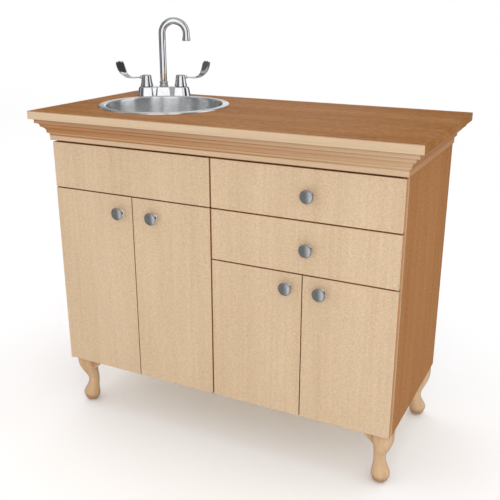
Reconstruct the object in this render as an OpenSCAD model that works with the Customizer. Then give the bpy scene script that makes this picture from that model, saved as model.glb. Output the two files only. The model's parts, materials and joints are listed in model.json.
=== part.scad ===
// Portable handwash sink: a salon style cabinet on short cabriole legs, with a round basin,
// a gooseneck faucet with wrist blades, two drawers, four doors and its own water tanks.
// Units are millimetres. +X is to the user's right, +Y to the back and +Z up.
// The origin lies on the floor, under the centre of the countertop.

/* [Countertop] */
// Height of the working surface above the floor
top_z = 914; // [880:1:940]
// Width of the countertop
top_w = 1089; // [1060:1:1120]
// Depth of the countertop
top_d = 516; // [510:1:530]
// Thickness of the countertop
top_t = 22; // [18:1:28]

/* [Cabinet] */
// Half of the cabinet's width
half_w = 502; // [500:1:506]
// Front edge of the side panels
case_front = -196; // [-200:1:-190]
// Back face of the cabinet
case_back = 240; // [236:1:246]
// Underside of the cabinet above the floor
case_z = 160; // [150:1:170]
// Thickness of the cabinet's boards
board = 18; // [16:1:19]
// Thickness of the hardboard back
back_t = 5; // [3:1:6]

/* [Doors and drawer fronts] */
// Thickness of the doors and drawer fronts
front_t = 16; // [14:1:16]
// Gap between the fronts and the cabinet's front edge
front_gap = 3; // [3:0.5:4]
// Outer end of the fronts
front_x = 500; // [498:1:502]
// Bottom edge of the doors
door_z = 163; // [163:1:166]
// Height of the joint between the top row of fronts and what is below it
row_1_z = 698.3; // [690:0.1:705]
// Height of the joint between the lower drawer and the right doors
row_2_z = 560.1; // [550:0.1:565]
// Top edge of the top row of fronts
fronts_top = 827; // [820:1:828]
// Distance of each hinge pin from the door's edge and from its front face
pivot_in = 5; // [5:0.5:6]

/* [Basin and faucet] */
// Centre of the basin, sideways
basin_x = -275; // [-280:1:-270]
// Centre of the basin, front to back
basin_y = 10; // [8:1:12]
// Radius of the basin's rim
rim_r = 187; // [180:1:188]
// Inner radius of the bowl
bowl_r = 165; // [155:1:166]
// Depth of the bowl below the countertop's surface
bowl_depth = 148; // [120:1:150]
// Bearing of the faucet from the basin's centre, from the back towards the left
faucet_bearing = 33; // [28:0.1:34]
// Angle that the faucet is turned to the right of straight ahead
faucet_turn = 26.7; // [20:0.1:27]
// Distance between the two valve centres
valve_gap = 106; // [100:1:110]
// Radius of the spout's tube
spout_r = 10.6; // [9:0.1:11]
// Radius of the spout's arch, to the tube's centre
arch_r = 37; // [34:1:40]
// Height of the arch's top above the countertop, to the tube's centre
arch_h = 224; // [200:1:240]
// Height of the spout's outlet above the countertop
outlet_h = 165; // [150:1:175]

/* [Legs] */
// Distance of each foot's centre from the cabinet's side, front and back
foot_in = 31; // [28:1:36]
// Thickness of the glides under the feet
glide_t = 4; // [3:1:5]
// Radius of the glides under the feet
glide_r = 10; // [8:1:12]

/* [Hidden] */

$fn = 64;
slack = 1;                                   // how far a cutting shape runs past what it cuts
maple = [0.86, 0.77, 0.63];
maple_dark = [0.65, 0.46, 0.31];
plywood = [0.80, 0.68, 0.50];
steel = [0.75, 0.76, 0.78];
bright = [0.85, 0.86, 0.88];

// Heights and planes of the case
under_top = top_z - top_t;
fronts_back = case_front - front_gap;
fronts_face = fronts_back - front_t;
inner_w = half_w - board;
inner_back = case_back - back_t;
half_part = board / 2;
floor_z = case_z + board;
row_gap = 3.4;                               // gap between a front and the front above it
middle_gap = 4.6;                            // gap between the two bays' fronts
pair_gap = 3;                                // gap between the two doors of a pair
divider_t = 15;
rail_h = 60;                                 // height of the rail behind the false front
split_shift = 7;                             // how far right of a bay's middle its doors meet
left_split = split_shift - front_x / 2;
right_split = split_shift + front_x / 2;

// Crown moulding: how far it stands out from the case at each of its levels
crown_h = 60;
crown_z = under_top - crown_h;
crown_out = 31.5;
crown_lip_h = 12;
crown_ovolo = 9;
crown_bead = 4;
crown_small_cove = 6;
crown_band = 3.5;
crown_band_h = 14;
crown_swell = 13;
crown_nose = 3;
apron_face = fronts_face;

// Doors, left to right: [left edge, right edge, top edge, hinge edge, knob centre, knob height]
left_top = row_1_z - row_gap / 2;
right_top = row_2_z - row_gap / 2;
left_knob_z = 650;
right_knob_z = 522;
DOORS = [
    [-front_x, left_split - pair_gap / 2, left_top, -1, -282, left_knob_z],
    [left_split + pair_gap / 2, -middle_gap / 2, left_top, 1, -174, left_knob_z],
    [middle_gap / 2, right_split - pair_gap / 2, right_top, -1, 218, right_knob_z],
    [right_split + pair_gap / 2, front_x, right_top, 1, 308, right_knob_z]
];
pivot_y = fronts_face + pivot_in;
pin_r = 2;
pin_len = 10;
pin_fit = 0.05;                              // radial clearance of each hinge pin in its door
pin_stand_off = 1;                           // free height below the pin's blind end
arm_t = 2;
arm_w = 6;
flange_t = 1.5;
flange_h = 42;

drawer_knob_x = 270;

// Drawers: [bottom and top of the front, bottom of the box, height of the box]
DRAWERS = [
    [row_1_z + row_gap / 2, fronts_top, 716, 84],
    [row_2_z + row_gap / 2, row_1_z - row_gap / 2, 582, 84]
];
side_room = 12.5;                            // room for a runner on each side of a drawer box
box_x0 = half_part + side_room;
box_x1 = inner_w - side_room;
box_depth = 400;
box_wall = 12;
box_floor_t = 5;
box_floor_up = 8;
groove = 5;
drawer_mid_x = (box_x0 + box_x1) / 2;
runner_t = 1.3;
roller_w = 6;
runner_h = 22;

// Basin
basin_t = 1.2;
rim_h = 3.5;
rim_roll = 5;
corner_r = 34;
cutout_r = rim_r - 12;
bowl_floor = top_z - bowl_depth;
drain_hole_r = 24;
drain_dish = 3;
flange_r = 37;
dish_r = 43;                                 // flat of the dish that the drain sits in
dish_slope = 6;
bowl_fall = 4;                               // how far the floor falls towards the drain
flange_disc = 1.8;
tail_r = 21;
tail_bore = 15;
cup_r = tail_r - 3;                          // strainer cup
cup_deep = 12;
cup_rest = 2;                                // height of the cup's rim above the dish
tail_z = bowl_floor - 62;

// Faucet
faucet_d = 50;                               // depth of the faucet's base
faucet_foot = 83;                            // half of the base's length at the countertop
faucet_head = 76;                            // half of its length at the top
faucet_h = 28;
faucet_gap = 1.5;                            // gap between the base and the basin's rim
faucet_r = rim_r + faucet_d / 2 + faucet_gap;
faucet_x = basin_x - faucet_r * sin(faucet_bearing);
faucet_y = basin_y + faucet_r * cos(faucet_bearing);
shank_r = 10;
shank_hole_r = 12;
shank_len = 50;
hub_z = top_z + faucet_h + 1.5;
hub_h = 35;
hub_r = 20;
hub_top_r = 15;
stem_r = 6;
nut_r = 14;
nut_h = 15;
spout_socket = 10;
spout_leg_z = top_z + arch_h - arch_r;

// Wrist blade: [distance from the valve's axis, height above the blade's root, width, twist]
BLADE = [
    [12, 0, 9, 0], [28, -0.5, 9, 0], [42, -1, 11, 10], [54, 1, 15, 22], [63, 6, 20, 36],
    [70, 14, 25, 48], [76, 24, 28, 56], [80, 35, 29, 60], [83, 45, 27, 62], [84, 50, 18, 62]
];
blade_t = 4.5;
blade_sides = 16;
blade_root = 27;                             // height of the blade's root above the hub's foot

// Legs: [height, distance out towards the corner, half width, squareness]
LEG = [
    [0, 0, 15, 2], [6, 0, 20, 2], [14, 0.5, 23.5, 2], [24, 0.5, 24.5, 2], [34, -1.5, 22, 2],
    [46, -5, 18.5, 2], [58, -8, 16.5, 2], [70, -8.5, 16.5, 2], [82, -6, 18, 2.1],
    [96, -1, 21, 2.3], [110, 3, 24, 2.6], [124, 5, 26, 3], [140, 5, 26.5, 3.4], [156, 5, 26.5, 3.6]
];
leg_sides = 32;
leg_steps = 2;
plate_t = 3;
plate_w = 42;
plate_out = 3.5;                             // how far the leg's head lies out from its foot
boss_r = 6;
boss_len = 24;
leg_top = case_z;
wing_t = 22;

// Underside of a leg's bracket: [distance in from the foot's centre, drop below the leg's head]
WING = [[16, 54], [30, 41], [44, 28.5], [58, 16.5], [72, 6]];
wing_steps = 3;

// Tanks and water equipment
tank_w = 215;
tank_d = 300;
tank_h = 330;
tank_wall = 3;
tank_edge = 22;
tank_y = 40;
fresh_x = -inner_w + 13 + tank_w / 2;
waste_x = -half_part - 14 - tank_w / 2;
tank_top = floor_z + tank_h;
neck_r = 27;
neck_bore = 23;
neck_h = 14;
neck_y = tank_y - 95;
cap_r = 31;
cap_h = 17;
spigot_r = 8;
spigot_h = 18;
hose_r = 6.5;
waste_hose_r = 17;
waste_in_y = 105;
pump_z = 640;
pump_x = -inner_w + 38;
pump_head_y = 40;
heater_y = 60;
heater_z = 590;
heater_h = 200;
heater_pipe = 12;                            // how far its water pipes stand out
inlet_x = 380;
inlet_z = 230;
inlet_w = 30;
inlet_h = 24;
inlet_deep = 26;

// Routes of the hoses, from fitting to fitting
SUCTION = [
    [-440, 100, 526], [-440, 100, 548], [-441, 92, 566], [-444, 70, 580], [-446, 50, 590],
    [-446, 40, 599], [-446, 40, 608]
];
TO_COLD = [
    [-446, 40, 672], [-446, 42, 690], [-445, 70, 704], [-440, 130, 708], [-420, 186, 712],
    [-382, 212, 730], [-352, 214, 768], [-344, 213, 820], [-343.9, 212.9, 870]
];
TO_HEATER = [
    [-428, 40, 640], [-411, 42, 638], [-384, 60, 622], [-350, 100, 592], [-290, 142, 566],
    [-200, 166, 552], [-110, 146, 548], [-64, 100, 552], [-48, 68, 562], [-48, 60, 578]
];
TO_HOT = [
    [-48, 60, 802], [-48, 62, 818], [-62, 104, 838], [-110, 168, 846], [-180, 202, 838],
    [-280, 206, 812], [-344, 182, 792], [-398, 166, 784], [-430, 164, 796], [-438.6, 165.2, 826],
    [-438.6, 165.2, 870]
];
WASTE = [
    [basin_x, basin_y, tail_z], [basin_x, basin_y, 680], [-268, 18, 655], [-244, 42, 626],
    [-205, 78, 600], [-165, 98, 580], [-136, 104, 560],
    [waste_x, waste_in_y, 540], [waste_x, waste_in_y, tank_top + spigot_h]
];

function arc_points(cx, cy, r, from, to, n) = [
    for (i = [0:n])
        let (a = from + (to - from) * i / n)
        [cx + r * cos(a), cy + r * sin(a)]
];
function unit(v) = v / norm(v);
function curve_point(a, b, c, d, t) =
    b + 0.5 * t * (c - a + t * (2 * a - 5 * b + 4 * c - d + t * (3 * b - a - 3 * c + d)));
function curve(p, n) = [
    for (i = [0:len(p) - 2]) for (k = [0:n - 1])
        curve_point(p[max(i - 1, 0)], p[i], p[i + 1], p[min(i + 2, len(p) - 1)], k / n),
    p[len(p) - 1]
];
function headings(p) =
    [for (i = [0:len(p) - 1]) unit(p[min(i + 1, len(p) - 1)] - p[max(i - 1, 0)])];
function carried(side, way) = unit(side - (side * way) * way);
function sideways(t, i, found) =
    i == len(t) ? found : sideways(t, i + 1, concat(found, [carried(found[i - 1], t[i])]));

// Joins rings of points, which run anticlockwise about the way the stack goes, into one closed solid
module rings(stack) {
    n = len(stack[0]);
    m = len(stack);
    polyhedron(
        points = [for (ring = stack) for (p = ring) p],
        faces = concat(
            [[for (k = [0:n - 1]) k]],
            [for (i = [0:m - 2]) for (k = [0:n - 1])
                [i * n + k, (i + 1) * n + k, (i + 1) * n + (k + 1) % n]],
            [for (i = [0:m - 2]) for (k = [0:n - 1])
                [i * n + k, (i + 1) * n + (k + 1) % n, i * n + (k + 1) % n]],
            [[for (k = [n - 1:-1:0]) (m - 1) * n + k]]
        )
    );
}

// A round hose swept along a smooth curve through the route's points
module hose(route, r, sides, steps) {
    line = curve(route, steps);
    along = headings(line);
    start = unit(cross(along[0], [0.3, 1, 0.1]));
    side = sideways(along, 1, [start]);
    rings([
        for (i = [0:len(line) - 1]) [
            for (k = [0:sides - 1])
                let (a = 360 * k / sides)
                line[i] + r * cos(a) * side[i] + r * sin(a) * cross(along[i], side[i])
        ]
    ]);
}

module rounded_plate(w, d, h, r) {
    linear_extrude(height = h) {
        square([w - 2 * r, d], center = true);
        square([w, d - 2 * r], center = true);
        for (x = [-1, 1]) for (y = [-1, 1]) translate([x * (w / 2 - r), y * (d / 2 - r)]) circle(r = r);
    }
}

module slab(x0, x1, y0, y1, z0, z1) {
    translate([x0, y0, z0]) cube([x1 - x0, y1 - y0, z1 - z0]);
}

module at_faucet() {
    translate([faucet_x, faucet_y, 0]) rotate([0, 0, faucet_turn]) children();
}

module countertop() {
    color(maple_dark) difference() {
        slab(-top_w / 2, top_w / 2, -top_d / 2, top_d / 2, under_top, top_z);
        translate([basin_x, basin_y, under_top - slack])
            cylinder(r = cutout_r, h = top_t + 2 * slack);
        at_faucet() for (s = [-1, 1])
            translate([s * valve_gap / 2, 0, under_top - slack])
                cylinder(r = shank_hole_r, h = top_t + 2 * slack);
    }
}

// Section of the crown moulding: x is out from the case, y is up from its lower edge
module crown_section() {
    step = crown_band + crown_small_cove;
    swell_z = crown_band_h + crown_small_cove + crown_bead;
    lip_z = crown_h - crown_lip_h;
    polygon(concat(
        [[0, 0], [crown_band, 0], [crown_band, crown_band_h]],
        arc_points(step, crown_band_h, crown_small_cove, 180, 90, 6),
        arc_points(step + crown_swell, swell_z, crown_swell, 180, 100, 8),
        arc_points(crown_out - crown_ovolo, lip_z, crown_nose, 270, 360, 4),
        [[crown_out, lip_z], [crown_out, crown_h], [0, crown_h]]
    ));
}

// A length of crown along +Y from 0, standing out towards +X
module crown_length(len) {
    translate([0, len, 0]) rotate([90, 0, 0]) linear_extrude(height = len) crown_section();
}

// Everything beyond the mitre plane at one front corner, towards that side
module mitre_cut(side) {
    reach = 2 * top_d;
    translate([side * half_w, apron_face, crown_z - slack]) rotate([0, 0, -45 * side])
        translate([-reach, 0, 0]) cube([2 * reach, reach, crown_h + 2 * slack]);
}

module crown_front() {
    reach = half_w + crown_out;
    color(maple_dark) difference() {
        translate([-reach, apron_face, crown_z]) rotate([0, 0, -90]) crown_length(2 * reach);
        mitre_cut(1);
        mitre_cut(-1);
    }
}

module crown_side(side) {
    length = case_back - apron_face + crown_out;
    color(maple_dark) intersection() {
        translate([side * half_w, apron_face - crown_out, crown_z])
            mirror([side < 0 ? 1 : 0, 0, 0]) crown_length(length);
        mitre_cut(side);
    }
}

module side_panel(side) {
    color(maple) translate([side > 0 ? inner_w : -half_w, case_front, case_z])
        cube([board, case_back - case_front, under_top - case_z]);
}

module centre_partition() {
    color(plywood) slab(-half_part, half_part, case_front, inner_back, floor_z, under_top);
}

module bottom_panel() {
    color(plywood) slab(-inner_w, inner_w, case_front, inner_back, case_z, floor_z);
}

module back_panel() {
    color(plywood) difference() {
        slab(-inner_w, inner_w, inner_back, case_back, case_z, under_top);
        translate([inlet_x, inner_back - slack, inlet_z]) rotate([-90, 0, 0])
            rounded_plate(inlet_w, inlet_h, back_t + 2 * slack, 2);
    }
}

module front_apron() {
    color(maple) slab(-half_w, half_w, apron_face, case_front, crown_z, under_top);
}

module false_front_rail() {
    low = row_1_z + 6;
    color(plywood) slab(-inner_w, -half_part, fronts_back, fronts_back + board, low, low + rail_h);
}

module drawer_divider() {
    color(plywood) slab(half_part, inner_w, case_front, inner_back, row_2_z - divider_t, row_2_z);
}

module false_front() {
    low = row_1_z + row_gap / 2;
    color(maple) slab(-front_x, -middle_gap / 2, fronts_face, fronts_back, low, fronts_top);
}

// Section of a leg that steps out towards +X and +Y
function leg_ring(row) = [
    for (k = [0:leg_sides - 1])
        let (
            a = 360 * (k + 0.5) / leg_sides,
            c = cos(a),
            s = sin(a),
            e = 2 / row[3],
            out = row[1] / sqrt(2)
        )
        [out + row[2] * sign(c) * pow(abs(c), e), out + row[2] * sign(s) * pow(abs(s), e), row[0]]
];

// Curved bracket between the top of the leg and the cabinet, along -X
module leg_wing() {
    root = WING[0];
    tip = WING[len(WING) - 1];
    translate([0, wing_t / 2, 0]) rotate([90, 0, 0]) linear_extrude(height = wing_t) polygon(concat(
        [[0, 0], [0, -root[1]]],
        [for (p = curve(WING, wing_steps)) -p],
        [[-tip[0], 0]]
    ));
}

module leg(sx, sy) {
    foot_y = sy < 0 ? case_front + foot_in : case_back - foot_in;
    rise = leg_top - glide_t;
    color(maple) translate([sx * (half_w - foot_in), foot_y, glide_t])
        mirror([sx < 0 ? 1 : 0, 0, 0]) mirror([0, sy < 0 ? 1 : 0, 0]) difference() {
            union() {
                rings([for (row = curve(LEG, leg_steps)) leg_ring(row)]);
                translate([0, 0, rise]) leg_wing();
                translate([0, 0, rise]) rotate([0, 0, 90]) leg_wing();
            }
            translate([plate_out, plate_out, rise - boss_len - slack])
                cylinder(r = boss_r + 0.2, h = boss_len + 2 * slack);
            translate([plate_out - plate_w / 2, plate_out - plate_w / 2, rise - plate_t])
                cube([plate_w, plate_w, plate_t + slack]);
        }
}

module at_feet() {
    for (sx = [-1, 1]) for (y = [case_front + foot_in, case_back - foot_in])
        translate([sx * (half_w - foot_in), y, 0]) children();
}

module leg_plates() {
    head_in = foot_in - plate_out;
    color(steel) for (sx = [-1, 1]) for (y = [case_front + head_in, case_back - head_in])
        translate([sx * (half_w - head_in), y, leg_top]) {
            translate([-plate_w / 2, -plate_w / 2, -plate_t]) cube([plate_w, plate_w, plate_t]);
            translate([0, 0, -boss_len]) cylinder(r = boss_r, h = boss_len - plate_t / 2);
        }
}

module leg_glides() {
    color([0.08, 0.08, 0.08]) at_feet() cylinder(r = glide_r, h = glide_t);
}

// Half section of the basin: the inner face from the drain to the rim, then the outer face back
module basin_section() {
    t = basin_t;
    roll_x = bowl_r + rim_roll;
    roll_z = top_z + rim_h - rim_roll;
    corner_x = bowl_r - corner_r;
    corner_z = bowl_floor + corner_r + bowl_fall;
    dish_z = bowl_floor - drain_dish;
    polygon(concat(
        [[drain_hole_r, dish_z], [dish_r, dish_z], [dish_r + dish_slope, bowl_floor]],
        arc_points(corner_x, corner_z, corner_r, 277, 360, 12),
        arc_points(roll_x, roll_z, rim_roll, 180, 90, 6),
        arc_points(rim_r - rim_h, top_z, rim_h, 90, 0, 6),
        arc_points(rim_r - rim_h, top_z, rim_h - t, 0, 90, 6),
        arc_points(roll_x, roll_z, rim_roll - t, 90, 180, 6),
        arc_points(corner_x, corner_z, corner_r + t, 360, 277, 12),
        [[dish_r + dish_slope, bowl_floor - t], [dish_r, dish_z - t], [drain_hole_r, dish_z - t]]
    ));
}

module basin() {
    color(bright) translate([basin_x, basin_y, 0]) rotate_extrude($fn = 128) basin_section();
}

module basin_clips() {
    clip_w = 16;
    clip_t = 2;
    clip_drop = 12;
    clip_reach = 14;
    screw_len = 8;
    leg_r = cutout_r - clip_t - slack;
    rim_under = top_z + rim_h - basin_t;
    color(steel) translate([basin_x, basin_y, under_top]) for (a = [20:60:320]) rotate([0, 0, a]) {
        translate([leg_r, -clip_w / 2, -clip_drop])
            cube([clip_t, clip_w, rim_under - under_top + clip_drop]);
        translate([leg_r, -clip_w / 2, -clip_t]) cube([cutout_r - leg_r + clip_reach, clip_w, clip_t]);
        translate([cutout_r + clip_reach / 2, 0, -screw_len - slack]) cylinder(r = 3, h = screw_len);
    }
}

module drain_flange() {
    z = bowl_floor - drain_dish;
    color(bright) translate([basin_x, basin_y, 0]) difference() {
        union() {
            translate([0, 0, z]) cylinder(r = flange_r, h = flange_disc);
            translate([0, 0, tail_z]) cylinder(r = tail_r, h = z - tail_z + slack);
        }
        translate([0, 0, z - cup_deep - 2]) cylinder(r = cup_r + slack, h = cup_deep + flange_disc + 3);
        translate([0, 0, tail_z - slack]) cylinder(r = tail_bore, h = z - tail_z);
    }
}

module drain_locknut() {
    nut_across = 33;
    washer_t = 3;
    thick = 12;
    color([0.15, 0.15, 0.16])
        translate([basin_x, basin_y, bowl_floor - drain_dish - basin_t - thick]) difference() {
            union() {
                translate([0, 0, thick - washer_t]) cylinder(r = nut_across + 1, h = washer_t);
                cylinder(r = nut_across, h = thick - washer_t, $fn = 8);
            }
            translate([0, 0, -slack]) cylinder(r = tail_r + 0.2, h = thick + 2 * slack);
        }
}

module strainer_basket() {
    wall = 1.2;
    lip_r = 29;
    stem = 2.2;
    stem_h = 9;
    color(bright) translate([basin_x, basin_y, bowl_floor - drain_dish + cup_rest]) {
        difference() {
            union() {
                cylinder(r = lip_r, h = wall);
                translate([0, 0, -cup_deep]) cylinder(r = cup_r, h = cup_deep);
            }
            translate([0, 0, wall - cup_deep]) cylinder(r = cup_r - wall, h = cup_deep + slack);
            for (a = [0:60:300]) rotate([0, 0, a])
                translate([cup_r * 0.62, 0, -cup_deep - slack]) cylinder(r = stem, h = wall + 2 * slack);
        }
        translate([0, 0, wall / 2 - cup_deep]) cylinder(r = stem, h = cup_deep + stem_h);
        translate([0, 0, stem_h - wall]) cylinder(r1 = 4, r2 = 6.5, h = 4);
        translate([0, 0, stem_h - wall + 4]) cylinder(r1 = 6.5, r2 = 4.5, h = 2);
    }
}

module waste_hose() {
    color([0.25, 0.25, 0.27]) hose(WASTE, waste_hose_r, 12, 4);
}

module base_lobe(x, r_foot, r_head) {
    translate([x, 0, top_z]) cylinder(r1 = r_foot, r2 = r_head, h = faucet_h, $fn = 32);
}

module faucet_base() {
    lobe_r = faucet_d / 2;
    color(bright) at_faucet() difference() {
        union() {
            hull() for (s = [-1, 1])
                base_lobe(s * (faucet_foot - lobe_r), lobe_r, faucet_head - faucet_foot + lobe_r);
            for (s = [-1, 1]) translate([s * valve_gap / 2, 0, 0]) {
                translate([0, 0, top_z - shank_len]) cylinder(r = shank_r, h = shank_len + slack);
                translate([0, 0, top_z + faucet_h - slack]) cylinder(r = stem_r, h = hub_h * 0.6);
            }
            translate([0, 0, top_z + faucet_h - slack]) cylinder(r = nut_r - 1.5, h = 1 + slack);
        }
        translate([0, 0, top_z + faucet_h - spout_socket])
            cylinder(r = spout_r + 0.06, h = spout_socket + 3);
        for (s = [-1, 1]) translate([s * valve_gap / 2, 0, top_z - shank_len - slack])
            cylinder(r = shank_r - 3, h = shank_len - 6);
    }
}

module faucet_locknuts() {
    color(steel) at_faucet() for (s = [-1, 1]) translate([s * valve_gap / 2, 0, 0]) difference() {
        union() {
            translate([0, 0, under_top - 2]) cylinder(r = 15, h = 2);
            translate([0, 0, under_top - 10]) cylinder(r = 14, h = 8, $fn = 6);
        }
        translate([0, 0, under_top - 11]) cylinder(r = shank_r + 0.05, h = 12);
    }
}

module spout_nut() {
    z = top_z + faucet_h + 1;
    color(bright) at_faucet() translate([0, 0, z]) difference() {
        union() {
            cylinder(r = nut_r, h = nut_h * 0.75, $fn = 8);
            translate([0, 0, nut_h * 0.7]) cylinder(r1 = nut_r - 1, r2 = nut_r - 2.2, h = nut_h * 0.3);
        }
        translate([0, 0, -slack]) cylinder(r = spout_r + 0.06, h = nut_h + 2 * slack);
    }
}

module spout() {
    foot = top_z + faucet_h - spout_socket + 0.3;
    outlet = top_z + outlet_h;
    skirt = 14;
    color(bright) at_faucet() difference() {
        union() {
            translate([0, 0, foot]) cylinder(r = spout_r, h = spout_leg_z - foot);
            translate([arch_r, 0, spout_leg_z]) rotate([90, 0, 0]) rotate_extrude(angle = 180)
                translate([arch_r, 0]) circle(r = spout_r);
            translate([2 * arch_r, 0, outlet + skirt])
                cylinder(r = spout_r, h = spout_leg_z - outlet - skirt);
        }
        translate([0, 0, foot - slack]) cylinder(r = spout_r - 1.6, h = 40);
    }
}

module spout_aerator() {
    z = top_z + outlet_h;
    color(bright) at_faucet() translate([2 * arch_r, 0, z]) difference() {
        cylinder(r = spout_r + 2, h = 14);
        translate([0, 0, -slack]) cylinder(r = spout_r - 1.5, h = 5);
    }
}

// Section of the blade at one row, across the way the blade goes
function blade_ring(row, way) = [
    for (k = [0:blade_sides - 1])
        let (
            a = 360 * (k + 0.5) / blade_sides,
            wide = row[2] / 2 * sign(cos(a)) * pow(abs(cos(a)), 0.7),
            thin = blade_t / 2 * sign(sin(a)) * pow(abs(sin(a)), 0.7),
            up = wide * sin(row[3]) + thin * cos(row[3])
        )
        [row[0] - way[1] * up, wide * cos(row[3]) - thin * sin(row[3]), row[1] + way[0] * up]
];

module blade() {
    line = curve(BLADE, 2);
    way = headings([for (row = line) [row[0], row[1]]]);
    rings([for (i = [0:len(line) - 1]) blade_ring(line[i], way[i])]);
}

// A hub with its wrist blade, which points along +X
module handle() {
    difference() {
        union() {
            cylinder(r1 = hub_r, r2 = hub_top_r, h = hub_h - 3);
            translate([0, 0, hub_h - 3]) cylinder(r1 = hub_top_r, r2 = hub_top_r - 4, h = 3);
            translate([hub_top_r - 4, 0, blade_root]) rotate([0, 90, 0]) cylinder(r = 4.6, h = 10);
            translate([0, 0, blade_root]) blade();
        }
        translate([0, 0, -slack]) cylinder(r = stem_r + 0.06, h = hub_h * 0.6 + slack);
    }
}

module left_handle() {
    color(bright) at_faucet() translate([-valve_gap / 2, 0, hub_z]) mirror([1, 0, 0]) handle();
}

module right_handle() {
    color(bright) at_faucet() translate([valve_gap / 2, 0, hub_z]) handle();
}

function hinge_x(d) = d[3] < 0 ? d[0] + pivot_in : d[1] - pivot_in;

module door(d) {
    hole = pin_len + pin_stand_off;
    color(maple) difference() {
        slab(d[0], d[1], fronts_face, fronts_back, door_z, d[2]);
        for (z = [door_z - slack, d[2] - hole])
            translate([hinge_x(d), pivot_y, z]) cylinder(r = pin_r + pin_fit, h = hole + slack);
    }
}

// Mushroom knob standing out towards -Y from a front
module knob(x, z) {
    color(bright) translate([x, fronts_face, z]) rotate([90, 0, 0]) rotate_extrude() polygon(concat(
        [[0, 0], [9.5, 0], [9.5, 1.6]],
        arc_points(13.5, 8.5, 7.5, 235, 165, 6),
        [[10, 12.5]],
        arc_points(11.5, 17, 6, -60, 60, 8),
        arc_points(0, -8, 34, 65, 90, 6)
    ));
}

module pivot_bracket(d, low) {
    x = hinge_x(d);
    z = low ? door_z - row_gap / 2 : d[2] + row_gap / 2;
    flange_z = low ? z - arm_t / 2 : z + arm_t / 2 - flange_h;
    x0 = x - arm_w / 2;
    slab(x0, x0 + arm_w, pivot_y - arm_w / 2, case_front, z - arm_t / 2, z + arm_t / 2);
    slab(x0, x0 + arm_w, case_front - flange_t, case_front, flange_z, flange_z + flange_h);
    translate([x, pivot_y, low ? z : z - pin_len]) cylinder(r = pin_r, h = pin_len);
}

module pivot_brackets() {
    color(steel) for (d = DOORS) for (low = [true, false]) pivot_bracket(d, low);
}

module drawer_front(d) {
    color(maple) slab(middle_gap / 2, front_x, fronts_face, fronts_back, d[0], d[1]);
}

// A block as wide and deep as a drawer box, less an inset on every side
module box_block(inset, low, high) {
    back = fronts_back + box_depth;
    slab(box_x0 + inset, box_x1 - inset, fronts_back + inset, back - inset, low, high);
}

module box_floor(d) {
    low = d[2] + box_floor_up;
    box_block(box_wall - groove, low, low + box_floor_t);
}

module drawer_box(d) {
    color(plywood) difference() {
        box_block(0, d[2], d[2] + d[3]);
        box_block(box_wall, d[2] - slack, d[2] + d[3] + slack);
        box_floor(d);
    }
}

module drawer_bottom(d) {
    color(plywood) box_floor(d);
}

module mirrored_runner() {
    children();
    translate([2 * drawer_mid_x, 0, 0]) mirror([1, 0, 0]) children();
}

// A wheel on a pin, which lies along +X from x and turns about it
module roller(x, y, z, r, pin_x) {
    translate([x, y, z]) rotate([0, 90, 0]) cylinder(r = r, h = roller_w);
    translate([pin_x, y, z]) rotate([0, 90, 0]) cylinder(r = 2, h = roller_w + 2.3);
}

module drawer_runners(d) {
    z = d[2];
    back = fronts_back + box_depth;
    wheel_y = back - 12;
    web_x = box_x0 - runner_t;
    track_z = z + 12.8;
    wheel_x = web_x - roller_w - 1.6;
    color(steel) mirrored_runner() {
        slab(web_x, box_x0, fronts_back, back, z - runner_t, z + runner_h);
        slab(web_x, box_x0 + box_wall, fronts_back, back, z - runner_t, z);
        slab(half_part + 2.6, box_x0 - 0.5, fronts_back + 4, wheel_y - 12, track_z, track_z + 1.2);
        roller(wheel_x, wheel_y, z + 6.5, 8, wheel_x - 0.1);
    }
}

module cabinet_rails() {
    front = case_front + 2;
    back = inner_back - 20;
    lip = half_part + 9.5;
    color(steel) mirrored_runner() for (d = DRAWERS) {
        low = d[2] - 3;
        high = d[2] + 20;
        slab(half_part, half_part + runner_t, front, back, low, high);
        slab(half_part, lip, front, back, low, low + 1.2);
        slab(half_part, lip, front, back, high - 1.2, high);
        roller(half_part + 3, front + 14, d[2] + 5.5, 7, half_part + 1);
    }
}

module tank(x) {
    skin = 2 * tank_wall;
    translate([x, tank_y, floor_z]) difference() {
        union() {
            rounded_plate(tank_w, tank_d, tank_h, tank_edge);
            translate([0, neck_y - tank_y, tank_h - slack]) cylinder(r = neck_r, h = neck_h + slack);
            children();
        }
        translate([0, 0, tank_wall])
            rounded_plate(tank_w - skin, tank_d - skin, tank_h - skin, tank_edge - tank_wall);
        translate([0, neck_y - tank_y, tank_h - skin]) cylinder(r = neck_bore, h = neck_h + 2 * skin);
    }
}

module fresh_water_tank() {
    color([0.90, 0.93, 0.95]) tank(fresh_x)
        translate([SUCTION[0][0] - fresh_x, SUCTION[0][1] - tank_y, tank_h - slack])
            cylinder(r = spigot_r, h = spigot_h + slack);
}

module waste_water_tank() {
    color([0.62, 0.64, 0.66]) tank(waste_x)
        translate([0, waste_in_y - tank_y, tank_h - slack])
            cylinder(r = waste_hose_r + 3, h = spigot_h + slack);
}

module tank_cap(x, tint) {
    color(tint) translate([x, neck_y, tank_top + 1]) difference() {
        union() {
            cylinder(r = cap_r, h = cap_h);
            for (a = [0:30:330]) rotate([0, 0, a])
                translate([cap_r - 0.5, 0, 1]) cylinder(r = 1.6, h = cap_h - 3);
        }
        translate([0, 0, -slack]) cylinder(r = neck_r + 0.3, h = neck_h + slack);
    }
}

module fresh_tank_cap() {
    tank_cap(fresh_x, [0.16, 0.35, 0.65]);
}

module waste_tank_cap() {
    tank_cap(waste_x, [0.20, 0.20, 0.22]);
}

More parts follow.
